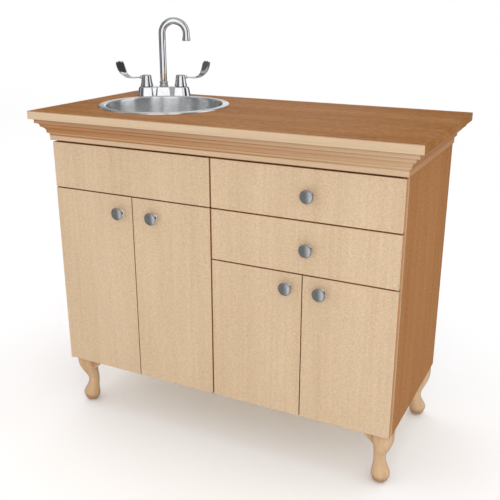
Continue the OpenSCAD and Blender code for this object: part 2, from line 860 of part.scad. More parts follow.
module water_pump() {
    motor_r = 27;
    motor_len = 134;
    plate_x = -inner_w + 5;
    port_r = 8;
    port_reach = 32;
    color([0.12, 0.12, 0.13]) {
        slab(-inner_w, plate_x, -130, pump_head_y + 22, pump_z - 34, pump_z + 34);
        for (y = [-110, -40]) slab(plate_x - slack, pump_x, y, y + 14, pump_z - 20, pump_z + 20);
        translate([pump_x, -122, pump_z]) rotate([-90, 0, 0]) cylinder(r = motor_r, h = motor_len);
        slab(plate_x - slack, pump_x + 18, pump_head_y - 30, pump_head_y + 20, pump_z - 26, pump_z + 26);
        translate([pump_x, pump_head_y, pump_z - port_reach]) cylinder(r = port_r, h = 2 * port_reach);
    }
}

module water_heater() {
    depth = 72;
    pipe_h = heater_pipe + slack;
    color([0.93, 0.93, 0.92]) {
        translate([-half_part - depth / 2, heater_y, heater_z]) rounded_plate(depth, 170, heater_h, 8);
        for (z = [heater_z - heater_pipe, heater_z + heater_h - slack])
            translate([-48, heater_y, z]) cylinder(r = 8, h = pipe_h);
    }
}

module supply_hoses() {
    color([0.70, 0.71, 0.73]) {
        hose(SUCTION, hose_r, 8, 3);
        hose(TO_COLD, hose_r, 8, 3);
        hose(TO_HEATER, hose_r, 8, 3);
        hose(TO_HOT, hose_r, 8, 3);
    }
}

module power_inlet() {
    body_w = inlet_w - 0.6;
    body_h = inlet_h - 0.6;
    pin_w = 2;
    pin_h = 4.4;
    color([0.10, 0.10, 0.11])
        translate([inlet_x, case_back - inlet_deep, inlet_z]) rotate([-90, 0, 0]) {
            difference() {
                union() {
                    translate([0, 0, inlet_deep]) rounded_plate(inlet_w + 20, inlet_h + 6, 2.5, 4);
                    rounded_plate(body_w, body_h, inlet_deep + slack, 2);
                }
                translate([0, 0, 3]) rounded_plate(inlet_w - 5, inlet_h - 6, inlet_deep, 2);
            }
            for (p = [[-7, 2], [0, -2.5], [7, 2]])
                translate([p[0] - pin_w / 2, p[1] - pin_h / 2, slack]) cube([pin_w, pin_h, 16]);
        }
}

countertop();
crown_front();
crown_side(-1);  // crown_left
crown_side(1);  // crown_right
side_panel(-1);  // side_panel_left
side_panel(1);  // side_panel_right
centre_partition();
bottom_panel();
back_panel();
front_apron();
false_front_rail();
drawer_divider();
false_front();
leg(-1, -1);  // leg_front_left
leg(1, -1);  // leg_front_right
leg(-1, 1);  // leg_back_left
leg(1, 1);  // leg_back_right
leg_plates();
leg_glides();
basin();
basin_clips();
drain_flange();
drain_locknut();
strainer_basket();
waste_hose();
faucet_base();
faucet_locknuts();
spout_nut();
spout();
spout_aerator();
left_handle();
right_handle();
door(DOORS[0]);  // door_1
door(DOORS[1]);  // door_2
door(DOORS[2]);  // door_3
door(DOORS[3]);  // door_4
knob(DOORS[0][4], DOORS[0][5]);  // door_1_knob
knob(DOORS[1][4], DOORS[1][5]);  // door_2_knob
knob(DOORS[2][4], DOORS[2][5]);  // door_3_knob
knob(DOORS[3][4], DOORS[3][5]);  // door_4_knob
pivot_brackets();
drawer_front(DRAWERS[0]);  // drawer_1_front
drawer_box(DRAWERS[0]);  // drawer_1_box
drawer_bottom(DRAWERS[0]);  // drawer_1_bottom
knob(drawer_knob_x, (DRAWERS[0][0] + DRAWERS[0][1]) / 2);  // drawer_1_knob
drawer_runners(DRAWERS[0]);  // drawer_1_runners
drawer_front(DRAWERS[1]);  // drawer_2_front
drawer_box(DRAWERS[1]);  // drawer_2_box
drawer_bottom(DRAWERS[1]);  // drawer_2_bottom
knob(drawer_knob_x, (DRAWERS[1][0] + DRAWERS[1][1]) / 2);  // drawer_2_knob
drawer_runners(DRAWERS[1]);  // drawer_2_runners
cabinet_rails();
fresh_water_tank();
fresh_tank_cap();
waste_water_tank();
waste_tank_cap();
water_pump();
water_heater();
supply_hoses();
power_inlet();
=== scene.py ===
import json
import math
import bpy
from mathutils import Matrix, Vector

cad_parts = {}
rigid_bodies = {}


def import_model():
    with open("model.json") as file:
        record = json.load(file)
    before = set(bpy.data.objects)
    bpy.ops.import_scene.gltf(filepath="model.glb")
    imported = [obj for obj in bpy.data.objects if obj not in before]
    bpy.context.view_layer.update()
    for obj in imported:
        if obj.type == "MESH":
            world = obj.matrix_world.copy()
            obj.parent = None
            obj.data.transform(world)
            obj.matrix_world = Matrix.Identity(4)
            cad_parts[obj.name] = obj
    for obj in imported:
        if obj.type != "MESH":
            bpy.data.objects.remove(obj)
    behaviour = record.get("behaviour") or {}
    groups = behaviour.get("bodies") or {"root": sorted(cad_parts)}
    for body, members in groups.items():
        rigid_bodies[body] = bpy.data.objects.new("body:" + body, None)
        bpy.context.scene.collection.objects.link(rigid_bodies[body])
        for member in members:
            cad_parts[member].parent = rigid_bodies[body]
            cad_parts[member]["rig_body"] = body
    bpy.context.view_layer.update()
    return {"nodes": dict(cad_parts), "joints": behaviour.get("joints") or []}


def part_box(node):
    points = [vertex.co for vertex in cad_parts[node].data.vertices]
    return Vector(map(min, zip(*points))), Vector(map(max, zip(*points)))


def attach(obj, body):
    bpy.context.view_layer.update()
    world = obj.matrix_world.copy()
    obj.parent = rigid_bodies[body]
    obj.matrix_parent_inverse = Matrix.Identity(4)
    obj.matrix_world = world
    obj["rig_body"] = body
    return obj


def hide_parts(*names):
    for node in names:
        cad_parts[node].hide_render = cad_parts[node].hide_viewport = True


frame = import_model()
NODES = frame["nodes"]
JOINTS = {j["name"]: j for j in frame["joints"]}
BODY = {n: o["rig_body"] for n, o in NODES.items()}
MM = 0.001


def centre_of(node):
    lo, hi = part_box(node)
    return (lo + hi) / 2


# ---- shader building
class Graph:
    """A node tree under construction."""

    def __init__(self, tree):
        self.tree = tree
        tree.nodes.clear()
        self.coord = self.add("ShaderNodeTexCoord")

    def add(self, kind, inputs=(), **props):
        """A new node. inputs maps socket names or numbers to values or other sockets."""
        n = self.tree.nodes.new(kind)
        for key, value in props.items():
            setattr(n, key, value)
        for key, value in dict(inputs).items():
            self.put(n.inputs[key], value)
        return n

    def put(self, socket, value):
        if hasattr(value, "is_output"):
            self.tree.links.new(value, socket)
        elif value is not None:
            socket.default_value = value

    def calc(self, op, a, b=None, c=None, clamp=False):
        n = self.add("ShaderNodeMath", enumerate((a, b, c)), operation=op, use_clamp=clamp)
        return n.outputs[0]

    def times(self, a, b, clamp=False):
        return self.calc("MULTIPLY", a, b, clamp=clamp)

    def minus(self, a, b):
        return self.calc("SUBTRACT", a, b)

    def linear(self, x, slope, base):
        return self.calc("MULTIPLY_ADD", x, slope, base)

    def axes(self, source="Object"):
        return self.add("ShaderNodeSeparateXYZ", {0: self.coord.outputs[source]}).outputs

    def vector(self, *parts):
        return self.add("ShaderNodeCombineXYZ", enumerate(parts)).outputs[0]

    def ramp(self, fac, *stops):
        n = self.add("ShaderNodeValToRGB", {0: fac})
        e = n.color_ramp.elements
        while len(e) < len(stops):
            e.new(0.5)
        for slot, (at, colour) in zip(e, stops):
            slot.position = at
            slot.color = (*colour, 1) if hasattr(colour, "__len__") else (colour,) * 3 + (1,)
        return n.outputs[0]

    def step(self, value, low, high):
        """0 below low, 1 above high, smooth between."""
        n = self.add("ShaderNodeMapRange", {1: low, 2: high}, interpolation_type="SMOOTHSTEP")
        self.put(n.inputs[0], value)
        return n.outputs[0]

    def mix(self, fac, a, b, kind="MIX"):
        a, b = ((*v, 1) if isinstance(v, tuple) else v for v in (a, b))
        n = self.add("ShaderNodeMix", {0: fac, 6: a, 7: b}, data_type="RGBA", blend_type=kind)
        return n.outputs[2]


class Shade(Graph):
    """A material under construction: one Principled shader and the nodes that feed it."""

    def __init__(self, name, **fixed):
        self.mat = bpy.data.materials.new(name)
        self.mat.use_nodes = True
        super().__init__(self.mat.node_tree)
        self.bsdf = self.add("ShaderNodeBsdfPrincipled")
        self.add("ShaderNodeOutputMaterial", {0: self.bsdf.outputs[0]})
        for key, value in fixed.items():
            self.set(key.replace("_", " "), value)

    def scaled(self, scale, shift=(0, 0, 0)):
        """Object coordinates times a number or one number an axis."""
        scale = scale if isinstance(scale, tuple) else (scale,) * 3
        place = {0: self.coord.outputs["Object"], "Scale": scale, "Location": shift}
        return self.add("ShaderNodeMapping", place).outputs[0]

    def noise(self, vector, detail, rough=0.55, twist=0.0):
        """Noise of a vector, or of object coordinates times a number."""
        vector = vector if hasattr(vector, "is_output") else self.scaled(vector)
        look = {"Scale": 1.0, "Detail": detail, "Roughness": rough, "Distortion": twist}
        return self.add("ShaderNodeTexNoise", {"Vector": vector, **look}).outputs["Fac"]

    def cells(self, scale):
        vector = {"Vector": self.scaled(scale)}
        return self.add("ShaderNodeTexVoronoi", vector, feature="F1").outputs

    def set(self, name, value):
        self.put(self.bsdf.inputs[name], value)

    def finish(self, colour, height, swing, base, relief=0, distance=0.2 * MM):
        """Sets the colour, a roughness of height times swing plus base, and the bump."""
        self.set("Base Color", colour)
        self.set("Roughness", self.linear(height, swing, base))
        if relief:
            form = {"Strength": relief, "Distance": distance, "Height": height}
            self.set("Normal", self.add("ShaderNodeBump", form).outputs[0])
        return self.mat


def stretched(along, across, axis):
    """Texture scales per metre, low along the grain axis and high across it."""
    scale = [across] * 3
    scale["XYZ".index(axis)] = along
    return tuple(scale)


def grain(s, axis, tones, contrast=1.0, shift=(0, 0, 0), speckle=0.0, weave=0.5, dashes=160):
    """Wood colour and fibre height, with the grain running along an object axis. tones are the
    light and the dark colour. speckle adds the short dark dashes of a printed laminate, weave is
    how much of them runs across it, and dashes is their number a metre along the grain."""
    def threads(along, across, detail, rough, twist=0.0, way=axis):
        return s.noise(s.scaled(stretched(along, across, way), shift), detail, rough, twist)

    light, dark = tones
    drift = threads(1.3, 9, 2, 0.5)
    streak = threads(2.2, 75, 5, 0.62, 0.35)
    fibre = threads(16, 900, 3, 0.6)
    fleck = threads(70, 620, 2, 0.5)
    tone = s.linear(drift, 0.55, s.times(streak, 0.65))
    tone = s.calc("ADD", tone, s.times(s.minus(fibre, 0.5), 0.45))
    centred = s.linear(s.minus(tone, 0.6), 2.1 * contrast, 0.42)
    colour = s.mix(s.calc("ADD", centred, 0, clamp=True), light, dark)
    pores = s.step(fleck, 0.62, 0.72)
    pore_colour = tuple(0.62 * c for c in dark)
    colour = s.mix(s.times(pores, 0.22 * contrast), colour, pore_colour)
    if speckle:
        cross = "XYZ"[("XYZ".index(axis) + 1) % 3] if axis != "Z" else "X"
        dash = threads(dashes, 520, 4, 0.7)
        weft = threads(140, 480, 4, 0.7, way=cross)
        dash = s.linear(weft, weave, s.times(dash, 1 - weave))
        level = s.linear(s.minus(dash, 0.5), 2.6 * speckle, 1.0)
        tone = s.add("ShaderNodeCombineColor", {0: level, 1: level, 2: level})
        colour = s.mix(1.0, colour, tone.outputs[0], "MULTIPLY")
    return colour, s.minus(fibre, s.times(pores, 0.6))


# the light and dark tone of each wood, some of them maple painted darker as shade, then two single
# colours
MAPLE = (0.588, 0.442, 0.298), (0.504, 0.366, 0.233)
# painted shade: maple drawn darker for the side panels' faces and the crown's coves
SHADED_MAPLE = (0.395, 0.186, 0.072), (0.300, 0.128, 0.044)
# painted shade: maple drawn darker for the edges of the doors, drawers and apron
SHADED_EDGE = (0.520, 0.265, 0.125), (0.420, 0.200, 0.088)
# painted shade: maple drawn darker for the countertop's top and ends
SHADED_TOP = (0.355, 0.164, 0.055), (0.265, 0.107, 0.031)
# painted shade: maple drawn darker for the crown's side returns
SHADED_CROWN_SIDE = (0.47, 0.255, 0.12), (0.37, 0.18, 0.08)
LEG = (0.615, 0.420, 0.245), (0.480, 0.300, 0.152)
BIRCH = (0.66, 0.53, 0.36), (0.55, 0.41, 0.25)
PLY_EDGE = (0.60, 0.45, 0.28), (0.34, 0.21, 0.11)
RAW_BOARD = (0.30, 0.20, 0.12), (0.16, 0.10, 0.06)
SEAM = (0.10, 0.045, 0.02)  # dark line under the countertop's top sheet
# painted shade for the underside of the foot and the leg's hollows
LEG_PAINTED_SHADE = (0.36, 0.165, 0.065)
MELAMINE = {"IOR": 1.12, "Specular_IOR_Level": 0.12}  # the faint shine of a printed board


def laminate(name, axis, faces, tones, edge_tones, shift=(0, 0, 0), speckle=0.5):
    """Wood laminate: one tone on the faces across the given axis and another on its edges. The
    darker tone is painted shade: on the edges of the fronts, and on the faces of the side panels.
    """
    s = Shade(name, **MELAMINE)
    face, height = grain(s, axis, tones, shift=shift, speckle=speckle)
    side, _ = grain(s, axis, edge_tones, 1.2, shift)
    facing = s.calc("ABSOLUTE", s.axes("Normal")["XYZ".index(faces)])
    mask = s.step(facing, 0.80, 0.985)
    return s.finish(s.mix(mask, side, face), height, 0.10, 0.38, 0.10)


def countertop_shade():
    """Laminate with painted shade on the top and ends, a light maple band along the front, raw
    board below.
    """
    s = Shade("countertop_laminate", **MELAMINE)
    # painted shade: the top and ends take the darker tone, the front band stays light
    top, height = grain(s, "X", SHADED_TOP, 1.9, speckle=1.1, weave=0.15, dashes=60)
    band, _ = grain(s, "X", MAPLE, 1.3, (3, 1, 2))
    under = s.mix(s.noise(220, 2), *RAW_BOARD)
    _, ny, nz = s.axes("Normal")
    z = s.axes()[2]
    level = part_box("countertop")[1].z
    front = s.step(s.calc("ABSOLUTE", ny), 0.55, 0.8)
    colour = s.mix(front, top, band)
    seam = s.minus(s.step(z, level - 1.6 * MM, level - 1.3 * MM),
                  s.step(z, level - 1.0 * MM, level - 0.8 * MM))
    colour = s.mix(s.times(seam, 0.75), colour, SEAM)
    colour = s.mix(s.step(s.times(nz, -1), 0.6, 0.85), colour, under)
    return s.finish(colour, height, 0.12, 0.34, 0.08)


CROWN_SHADE_LEVELS = [  # part of the crown's height, and how much painted shade lies there: full in the coves
    (0.0, 0.9), (0.03, 0.05), (0.20, 0.05), (0.235, 1.0), (0.265, 1.0), (0.29, 0.35),
    (0.355, 0.35), (0.385, 1.0), (0.42, 0.65), (0.50, 0.75), (0.56, 0.65), (0.60, 1.0),
    (0.64, 0.65), (0.72, 0.6), (0.75, 1.0), (0.78, 1.0), (0.81, 0.5), (0.95, 0.5), (1.0, 1.0),
]


def crown_shade(name, axis, tones, fade=0.0):
    """Moulding with painted shade in its coves and light wood on its rounds and flats. fade is how
    much the painted shade changes over a metre along X."""
    s = Shade(name, IOR=1.2, Specular_IOR_Level=0.3)
    colour, height = grain(s, axis, tones, 1.5)
    shaded, _ = grain(s, axis, SHADED_MAPLE, 1.6, (5, 3, 7))
    lo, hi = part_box("crown_front")
    x, _, z = s.axes()
    level = s.calc("DIVIDE", s.minus(z, lo.z), hi.z - lo.z)
    # painted shade in the coves, set by height on the moulding
    depth = s.ramp(level, *CROWN_SHADE_LEVELS)
    # painted shade: more of it towards the left, where the light falls off, when fade is negative
    depth = s.times(depth, s.linear(x, fade, 1.0), clamp=True)
    return s.finish(s.mix(depth, colour, shaded), height, 0.12, 0.32, 0.12)


def leg_shade():
    """Lacquered solid maple, with painted shade under the foot and in the hollows."""
    s = Shade("leg_maple", Coat_Weight=0.2, Coat_Roughness=0.15, Specular_IOR_Level=0.35)
    colour, height = grain(s, "Z", LEG, 1.2, (2, 4, 1))
    # painted shade: darker below the pad's rim and, from occlusion, in the hollows
    under = s.minus(1.0, s.step(s.axes()[2], 15 * MM, 21 * MM))
    hollow = s.add("ShaderNodeAmbientOcclusion", {"Distance": 45 * MM}, samples=8)
    shade_amount = s.minus(1.0, s.step(hollow.outputs["AO"], 0.5, 1.0))
    shade_amount = s.calc("MAXIMUM", s.times(under, 0.85), s.times(shade_amount, 0.6))
    return s.finish(s.mix(shade_amount, colour, LEG_PAINTED_SHADE), height, 0.1, 0.26, 0.08)


def board_shade(name, faces):
    """Birch board: pale satin faces, and edges with the plies showing."""
    s = Shade(name, Coat_Weight=0.05)
    colour, height = grain(s, "Y" if faces != "Y" else "X", BIRCH, 0.9, (1, 2, 3))
    across = "XYZ".index(faces)
    two_plies = 2.4 * MM
    wave = s.calc("SINE", s.times(s.axes()[across], 2 * math.pi / two_plies))
    edge = s.mix(s.step(wave, -0.2, 0.2), *PLY_EDGE)
    facing = s.step(s.calc("ABSOLUTE", s.axes("Normal")[across]), 0.5, 0.8)
    return s.finish(s.mix(facing, edge, colour), height, 0.12, 0.44, 0.15)


def hardboard_shade():
    s = Shade("hardboard")
    mottle = s.ramp(s.noise(260, 5, 0.7), (0.3, (0.20, 0.115, 0.06)), (0.7, (0.34, 0.21, 0.115)))
    return s.finish(mottle, s.noise(1500, 2, 0.6), 0.25, 0.5, 0.3)


def turned_steel(name, node, tint=(0.63, 0.635, 0.65), rough=0.16):
    """Stainless steel brushed round a vertical axis."""
    s = Shade(name, Metallic=1.0, Anisotropic=0.92, Anisotropic_Rotation=0.25)
    c = centre_of(node)
    x, y, z = s.axes()
    dx, dy = s.minus(x, c.x), s.minus(y, c.y)
    out = s.calc("SQRT", s.calc("ADD", s.times(dx, dx), s.times(dy, dy)))
    turn = s.calc("ARCTAN2", dy, dx)
    s.set("Tangent", s.vector(s.times(dy, -1), dx))
    lines = s.noise(s.vector(s.times(s.calc("COSINE", turn), 1.5),
                             s.times(s.calc("ADD", out, z), 2600),
                             s.times(s.calc("SINE", turn), 1.5)), 3, 0.6)
    cloud = s.noise(26, 4, 0.6)
    colour = s.mix(s.step(cloud, 0.3, 0.75), tint, tuple(0.86 * k for k in tint))
    base = s.linear(cloud, 0.08, rough - 0.09)
    return s.finish(colour, lines, 0.12, base, 0.05, 0.05 * MM)


def chrome_shade(name, bright, dull):
    """Polished plate with faint water spots and wiping haze."""
    s = Shade(name, Metallic=1.0)
    haze = s.noise(60, 4, 0.6)
    ring = s.step(s.cells(140)["Distance"], 0.10, 0.16)
    colour = s.mix(s.step(haze, 0.35, 0.8), bright, dull)
    return s.finish(colour, haze, 0.05, s.linear(ring, -0.03, 0.055))


def knob_shade():
    """Satin grey cap on a bright polished foot."""
    s = Shade("satin_knob", Metallic=1.0)
    lo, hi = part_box("drawer_1_knob")
    cap_ends, foot_starts = (lo.y + part * (hi.y - lo.y) for part in (0.36, 0.42))
    foot = s.step(s.axes()[1], cap_ends, foot_starts)
    haze = s.noise(180, 4, 0.6)
    cap = s.mix(s.step(haze, 0.3, 0.8), (0.52, 0.53, 0.545), (0.43, 0.44, 0.455))
    colour = s.mix(foot, cap, (0.93, 0.935, 0.94))
    return s.finish(colour, foot, -0.30, s.linear(haze, 0.08, 0.40))


def zinc_shade():
    s = Shade("zinc_plate", Metallic=1.0)
    spangle = s.times(s.cells(420)["Color"], 0.5)
    colour = s.mix(spangle, (0.56, 0.57, 0.59), (0.70, 0.71, 0.73))
    return s.finish(colour, s.noise(60, 4, 0.6), 0.25, 0.24, 0.08, 0.1 * MM)


def plastic_shade(name, colour, rough=0.45, texture=900, depth=0.25, speck=0.12, **fixed):
    """Moulded plastic or rubber with a fine texture and slight colour variation."""
    s = Shade(name, **fixed)
    fine = s.noise(texture, 2, 0.5)
    cloud = s.times(s.noise(35, 3), speck * 4)
    colour = s.mix(cloud, colour, tuple(c * 0.72 + 0.004 for c in colour))
    return s.finish(colour, fine, 0.16, rough - 0.08, depth, 0.1 * MM)


def braid_shade():
    """Woven steel sleeve: two sets of wires cross round the hose."""
    s = Shade("braided_sleeve", Metallic=0.85)
    u, v, _ = s.axes("UV")
    wires = [s.calc("SINE", s.times(s.calc(op, u, v), 2 * math.pi))
             for op in ("ADD", "SUBTRACT")]
    weave = s.calc("MAXIMUM", *wires)
    colour = s.mix(s.step(weave, -0.1, 0.7), (0.16, 0.16, 0.17), (0.66, 0.67, 0.69))
    return s.finish(colour, weave, -0.08, 0.36, 0.6, 0.3 * MM)


def enamel_shade():
    s = Shade("white_enamel", Coat_Weight=0.5, Coat_Roughness=0.08)
    colour = s.mix(s.noise(12, 3, 0.5), (0.80, 0.80, 0.785), (0.74, 0.74, 0.72))
    return s.finish(colour, s.noise(320, 2, 0.5), 0.1, 0.25, 0.06)


MAT = {
    "front": laminate("front_laminate", "Z", "Y", MAPLE, SHADED_EDGE),
    "front_2": laminate("front_laminate_2", "Z", "Y", MAPLE, SHADED_EDGE, (4, 9, 2)),
    # the side panels' faces take maple painted darker as shade
    "side": laminate("side_laminate", "Z", "X", SHADED_MAPLE, MAPLE, (7, 5, 3), 1.5),
    "apron": laminate("apron_laminate", "X", "Y", MAPLE, SHADED_EDGE, (1, 6, 8)),
    "top": countertop_shade(),
    "crown_front": crown_shade("crown_front_maple", "X", MAPLE, -0.9),
    "crown_side": crown_shade("crown_side_maple", "Y", SHADED_CROWN_SIDE),
    "leg": leg_shade(),
    "board_x": board_shade("board_upright", "X"),
    "board_y": board_shade("board_rail", "Y"),
    "board_z": board_shade("board_flat", "Z"),
    "hardboard": hardboard_shade(),
    "basin": turned_steel("basin_steel", "basin", (0.93, 0.935, 0.94), 0.27),
    "drain": turned_steel("drain_steel", "drain_flange", rough=0.36),
    "chrome": chrome_shade("chrome_plate", (0.73, 0.735, 0.745), (0.64, 0.645, 0.66)),
    "nickel": knob_shade(),
    "zinc": zinc_shade(),
    "rubber": plastic_shade("black_rubber", (0.022, 0.022, 0.023), 0.7),
    "black": plastic_shade("black_moulding", (0.028, 0.028, 0.031), 0.42),
    "hose": plastic_shade("grey_hose", (0.23, 0.235, 0.245), 0.5),
    "braid": braid_shade(),
    "fresh": plastic_shade("natural_tank", (0.78, 0.82, 0.84), 0.38, 500, 0.2, 0.06,
                           Subsurface_Weight=0.25),
    "waste": plastic_shade("grey_tank", (0.30, 0.32, 0.34), 0.42, 500, 0.2, 0.08),
    "blue": plastic_shade("blue_cap", (0.03, 0.13, 0.42), 0.33),
    "dark": plastic_shade("dark_cap", (0.06, 0.06, 0.065), 0.35),
    "enamel": enamel_shade(),
}


# ---- mesh building
def new_object(name, verts, faces):
    mesh = bpy.data.meshes.new(name)
    mesh.from_pydata([tuple(v) for v in verts], [], faces)
    obj = bpy.data.objects.new(name, mesh)
    bpy.context.scene.collection.objects.link(obj)
    return obj


def stand_in(name, part, mat, node, sharp=38, uv=None):
    """A smooth piece that replaces a CAD node, on its body."""
    obj = new_object(name, *part)
    mesh = obj.data
    mesh.validate()
    if uv:
        layer = mesh.uv_layers.new(name="along")
        for loop in mesh.loops:
            layer.data[loop.index].uv = uv[loop.vertex_index]
    mesh.shade_smooth()
    mesh.set_sharp_from_angle(angle=math.radians(sharp))
    mesh.materials.append(MAT[mat])
    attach(obj, BODY[node])
    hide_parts(node)


def metres(points, *start):
    """Points given in millimetres from a start point in metres, or from the origin."""
    return [tuple(s + c * MM for c, s in zip(p, start or (0,) * len(p))) for p in points]


def to(x, y, z=0):
    return Matrix.Translation((x, y, z))


def spin(degrees, axis):
    return Matrix.Rotation(math.radians(degrees), 4, axis)


def merge(*parts):
    """Several (verts, faces) as one."""
    verts, faces = [], []
    for v, f in parts:
        base = len(verts)
        verts += list(v)
        faces += [tuple(i + base for i in face) for face in f]
    return verts, faces


def moved(part, matrix):
    verts, faces = part
    flip = matrix.to_3x3().determinant() < 0
    return [matrix @ Vector(v) for v in verts], [tuple(reversed(f)) if flip else f for f in faces]


def stack(rows, close=True):
    """Quads between rings of equal count, which run anticlockwise about the way the stack goes."""
    n = len(rows[0])
    verts = [v for row in rows for v in row]
    faces = []
    for i in range(len(rows) - 1):
        for k in range(n):
            a, b = i * n + k, i * n + (k + 1) % n
            faces.append((a, b, b + n, a + n))
    if close:
        faces.append(tuple(reversed(range(n))))
        faces.append(tuple(range((len(rows) - 1) * n, len(rows) * n)))
    return verts, faces


def turns(count, half=0):
    """Evenly spaced angles of a whole turn. half moves them on by that part of a step."""
    return [2 * math.pi * (k + half) / count for k in range(count)]


def circle(r, z, sides):
    """A ring of points about Z. r is a number or a function of the angle."""
    radii = [(r(a) if callable(r) else r, a) for a in turns(sides)]
    return [(q * math.cos(a), q * math.sin(a), z) for q, a in radii]


def lathe(profile, sides=96):
    """Turns (radius, height) points about Z. Points at radius 0 become single poles; otherwise the
    profile is a closed loop."""
    solid = profile[0][0] == 0 and profile[-1][0] == 0
    rows = [circle(r, z, sides) for r, z in (profile[1:-1] if solid else profile)]
    verts, faces = stack(rows, close=False)
    low, high, top = len(verts), len(verts) + 1, len(verts) - sides
    for k in range(sides):
        m = (k + 1) % sides
        if solid:
            faces += [(low, m, k), (high, top + k, top + m)]
        else:
            faces.append((top + k, top + m, m, k))
    if solid:
        verts += [(0, 0, profile[0][1]), (0, 0, profile[-1][1])]
    return verts, faces


def arc(cx, cy, r, start, end, n):
    angles = [math.radians(start + (end - start) * i / n) for i in range(n + 1)]
    return [(cx + r * math.cos(a), cy + r * math.sin(a)) for a in angles]


def curve(points, n):
    """A smooth line through the points, n steps a span. Points are tuples of any length."""
    line = []
    count = len(points)
    for i in range(count - 1):
        ends = points[max(i - 1, 0)], points[i], points[i + 1], points[min(i + 2, count - 1)]
        for k in range(n):
            t = k / n
            line.append(tuple(
                0.5 * (2 * q + (r - p) * t + (2 * p - 5 * q + 4 * r - s) * t * t
                       + (3 * q - p - 3 * r + s) * t ** 3)
                for p, q, r, s in zip(*ends)
            ))
    return line + [tuple(points[-1])]


def carried(line):
    """Each point of a line with its side and up, carried along without twisting."""
    line = [Vector(p) for p in line]
    last = len(line) - 1
    way = [(line[min(i + 1, last)] - line[max(i - 1, 0)]).normalized() for i in range(last + 1)]
    side = way[0].cross(Vector((0.3, 1.0, 0.1))).normalized()
    found = []
    for p, w in zip(line, way):
        side = (side - w * side.dot(w)).normalized()
        found.append((p, side, w.cross(side)))
    return found


def sweep(line, radius, sides=32, cells=None):
    """A tube along a line, with UVs. radius is a number or a function of the length run; cells is
    the count of texture cells round the tube and the length of one."""
    rows, uv = [], []
    run, before = 0.0, None
    for p, side, up in carried(line):
        run += 0 if before is None else (p - before).length
        before = p
        r = radius(run) if callable(radius) else radius
        rows.append([p + side * (r * math.cos(a)) + up * (r * math.sin(a)) for a in turns(sides)])
        if cells:
            uv += [(cells[0] * k / sides, run / cells[1]) for k in range(sides)]
    return stack(rows), uv


def resample(line, step):
    """Points at an even distance along a line."""
    line = [Vector(p) for p in line]
    total = sum((b - a).length for a, b in zip(line, line[1:]))
    count = max(2, round(total / step))
    out, run, i = [line[0]], 0.0, 0
    for k in range(1, count):
        target = total * k / count
        while run + (line[i + 1] - line[i]).length < target:
            run += (line[i + 1] - line[i]).length
            i += 1
        part = (target - run) / (line[i + 1] - line[i]).length
        out.append(line[i].lerp(line[i + 1], part))
    return out + [line[-1]]


def plate_outline(w, d, r, n):
    """Rounded rectangle about the origin, anticlockwise."""
    pts = []
    for cx, cy, start in ((w / 2 - r, d / 2 - r, 0), (r - w / 2, d / 2 - r, 90),
                          (r - w / 2, r - d / 2, 180), (w / 2 - r, r - d / 2, 270)):
        pts += arc(cx, cy, r, start, start + 90, n)
    return pts


def soft_plate(w, d, z0, z1, r, edge, n=10, rows=()):
    """A block with rounded corners r and softened top and bottom edges. rows may add
    (height, inset) stations between the two."""
    steps = 5
    least_r = 0.3 * MM
    angles = [math.radians(90 * i / steps) for i in range(steps + 1)]
    ease = [(edge * (1 - math.sin(a)), edge * (1 - math.cos(a))) for a in angles]
    levels = [(z0 + rise, inset) for rise, inset in reversed(ease)]
    levels += [*rows, *((z1 - rise, inset) for rise, inset in ease)]
    rings = []
    for z, inset in levels:
        outline = plate_outline(w - 2 * inset, d - 2 * inset, max(r - inset, least_r), n)
        rings.append([(x, y, z) for x, y in outline])
    return stack(rings)


def box_part(lo, hi, edge, n=3):
    """A block between two corners with softened edges."""
    lo, hi = Vector(lo), Vector(hi)
    c = (lo + hi) / 2
    part = soft_plate(hi.x - lo.x, hi.y - lo.y, lo.z - c.z, hi.z - c.z, edge, edge, n)
    return moved(part, Matrix.Translation(c))


def fused(name, parts, voxel, rounds):
    """Overlapping parts grown into one smooth skin."""
    obj = new_object(name, *merge(*parts))
    grid = obj.modifiers.new("grid", "REMESH")
    grid.mode = "VOXEL"
    grid.voxel_size = voxel
    even = obj.modifiers.new("even", "SMOOTH")
    even.factor = 0.5
    even.iterations = rounds
    graph = bpy.context.evaluated_depsgraph_get()
    mesh = bpy.data.meshes.new_from_object(obj.evaluated_get(graph))
    bpy.data.objects.remove(obj)
    return mesh


def keep_cad(node, mat, bevel, segments):
    """A CAD node shown as it is, with its edges softened and a detailed material."""
    obj = NODES[node]
    mesh = obj.data
    mesh.materials.clear()
    mesh.materials.append(MAT[mat])
    mesh.polygons.foreach_set("material_index", [0] * len(mesh.polygons))
    if "custom_normal" in mesh.attributes:
        mesh.attributes.remove(mesh.attributes["custom_normal"])
    weld = obj.modifiers.new("weld", "WELD")
    weld.merge_threshold = 0.01 * MM
    soft = obj.modifiers.new("soft_edges", "BEVEL")
    soft.width = bevel * MM
    soft.segments = segments
    soft.limit_method = "ANGLE"
    soft.angle_limit = math.radians(32)
    soft.use_clamp_overlap = True
    mesh.shade_smooth()
    obj.modifiers.new("flat_faces", "WEIGHTED_NORMAL").keep_sharp = False


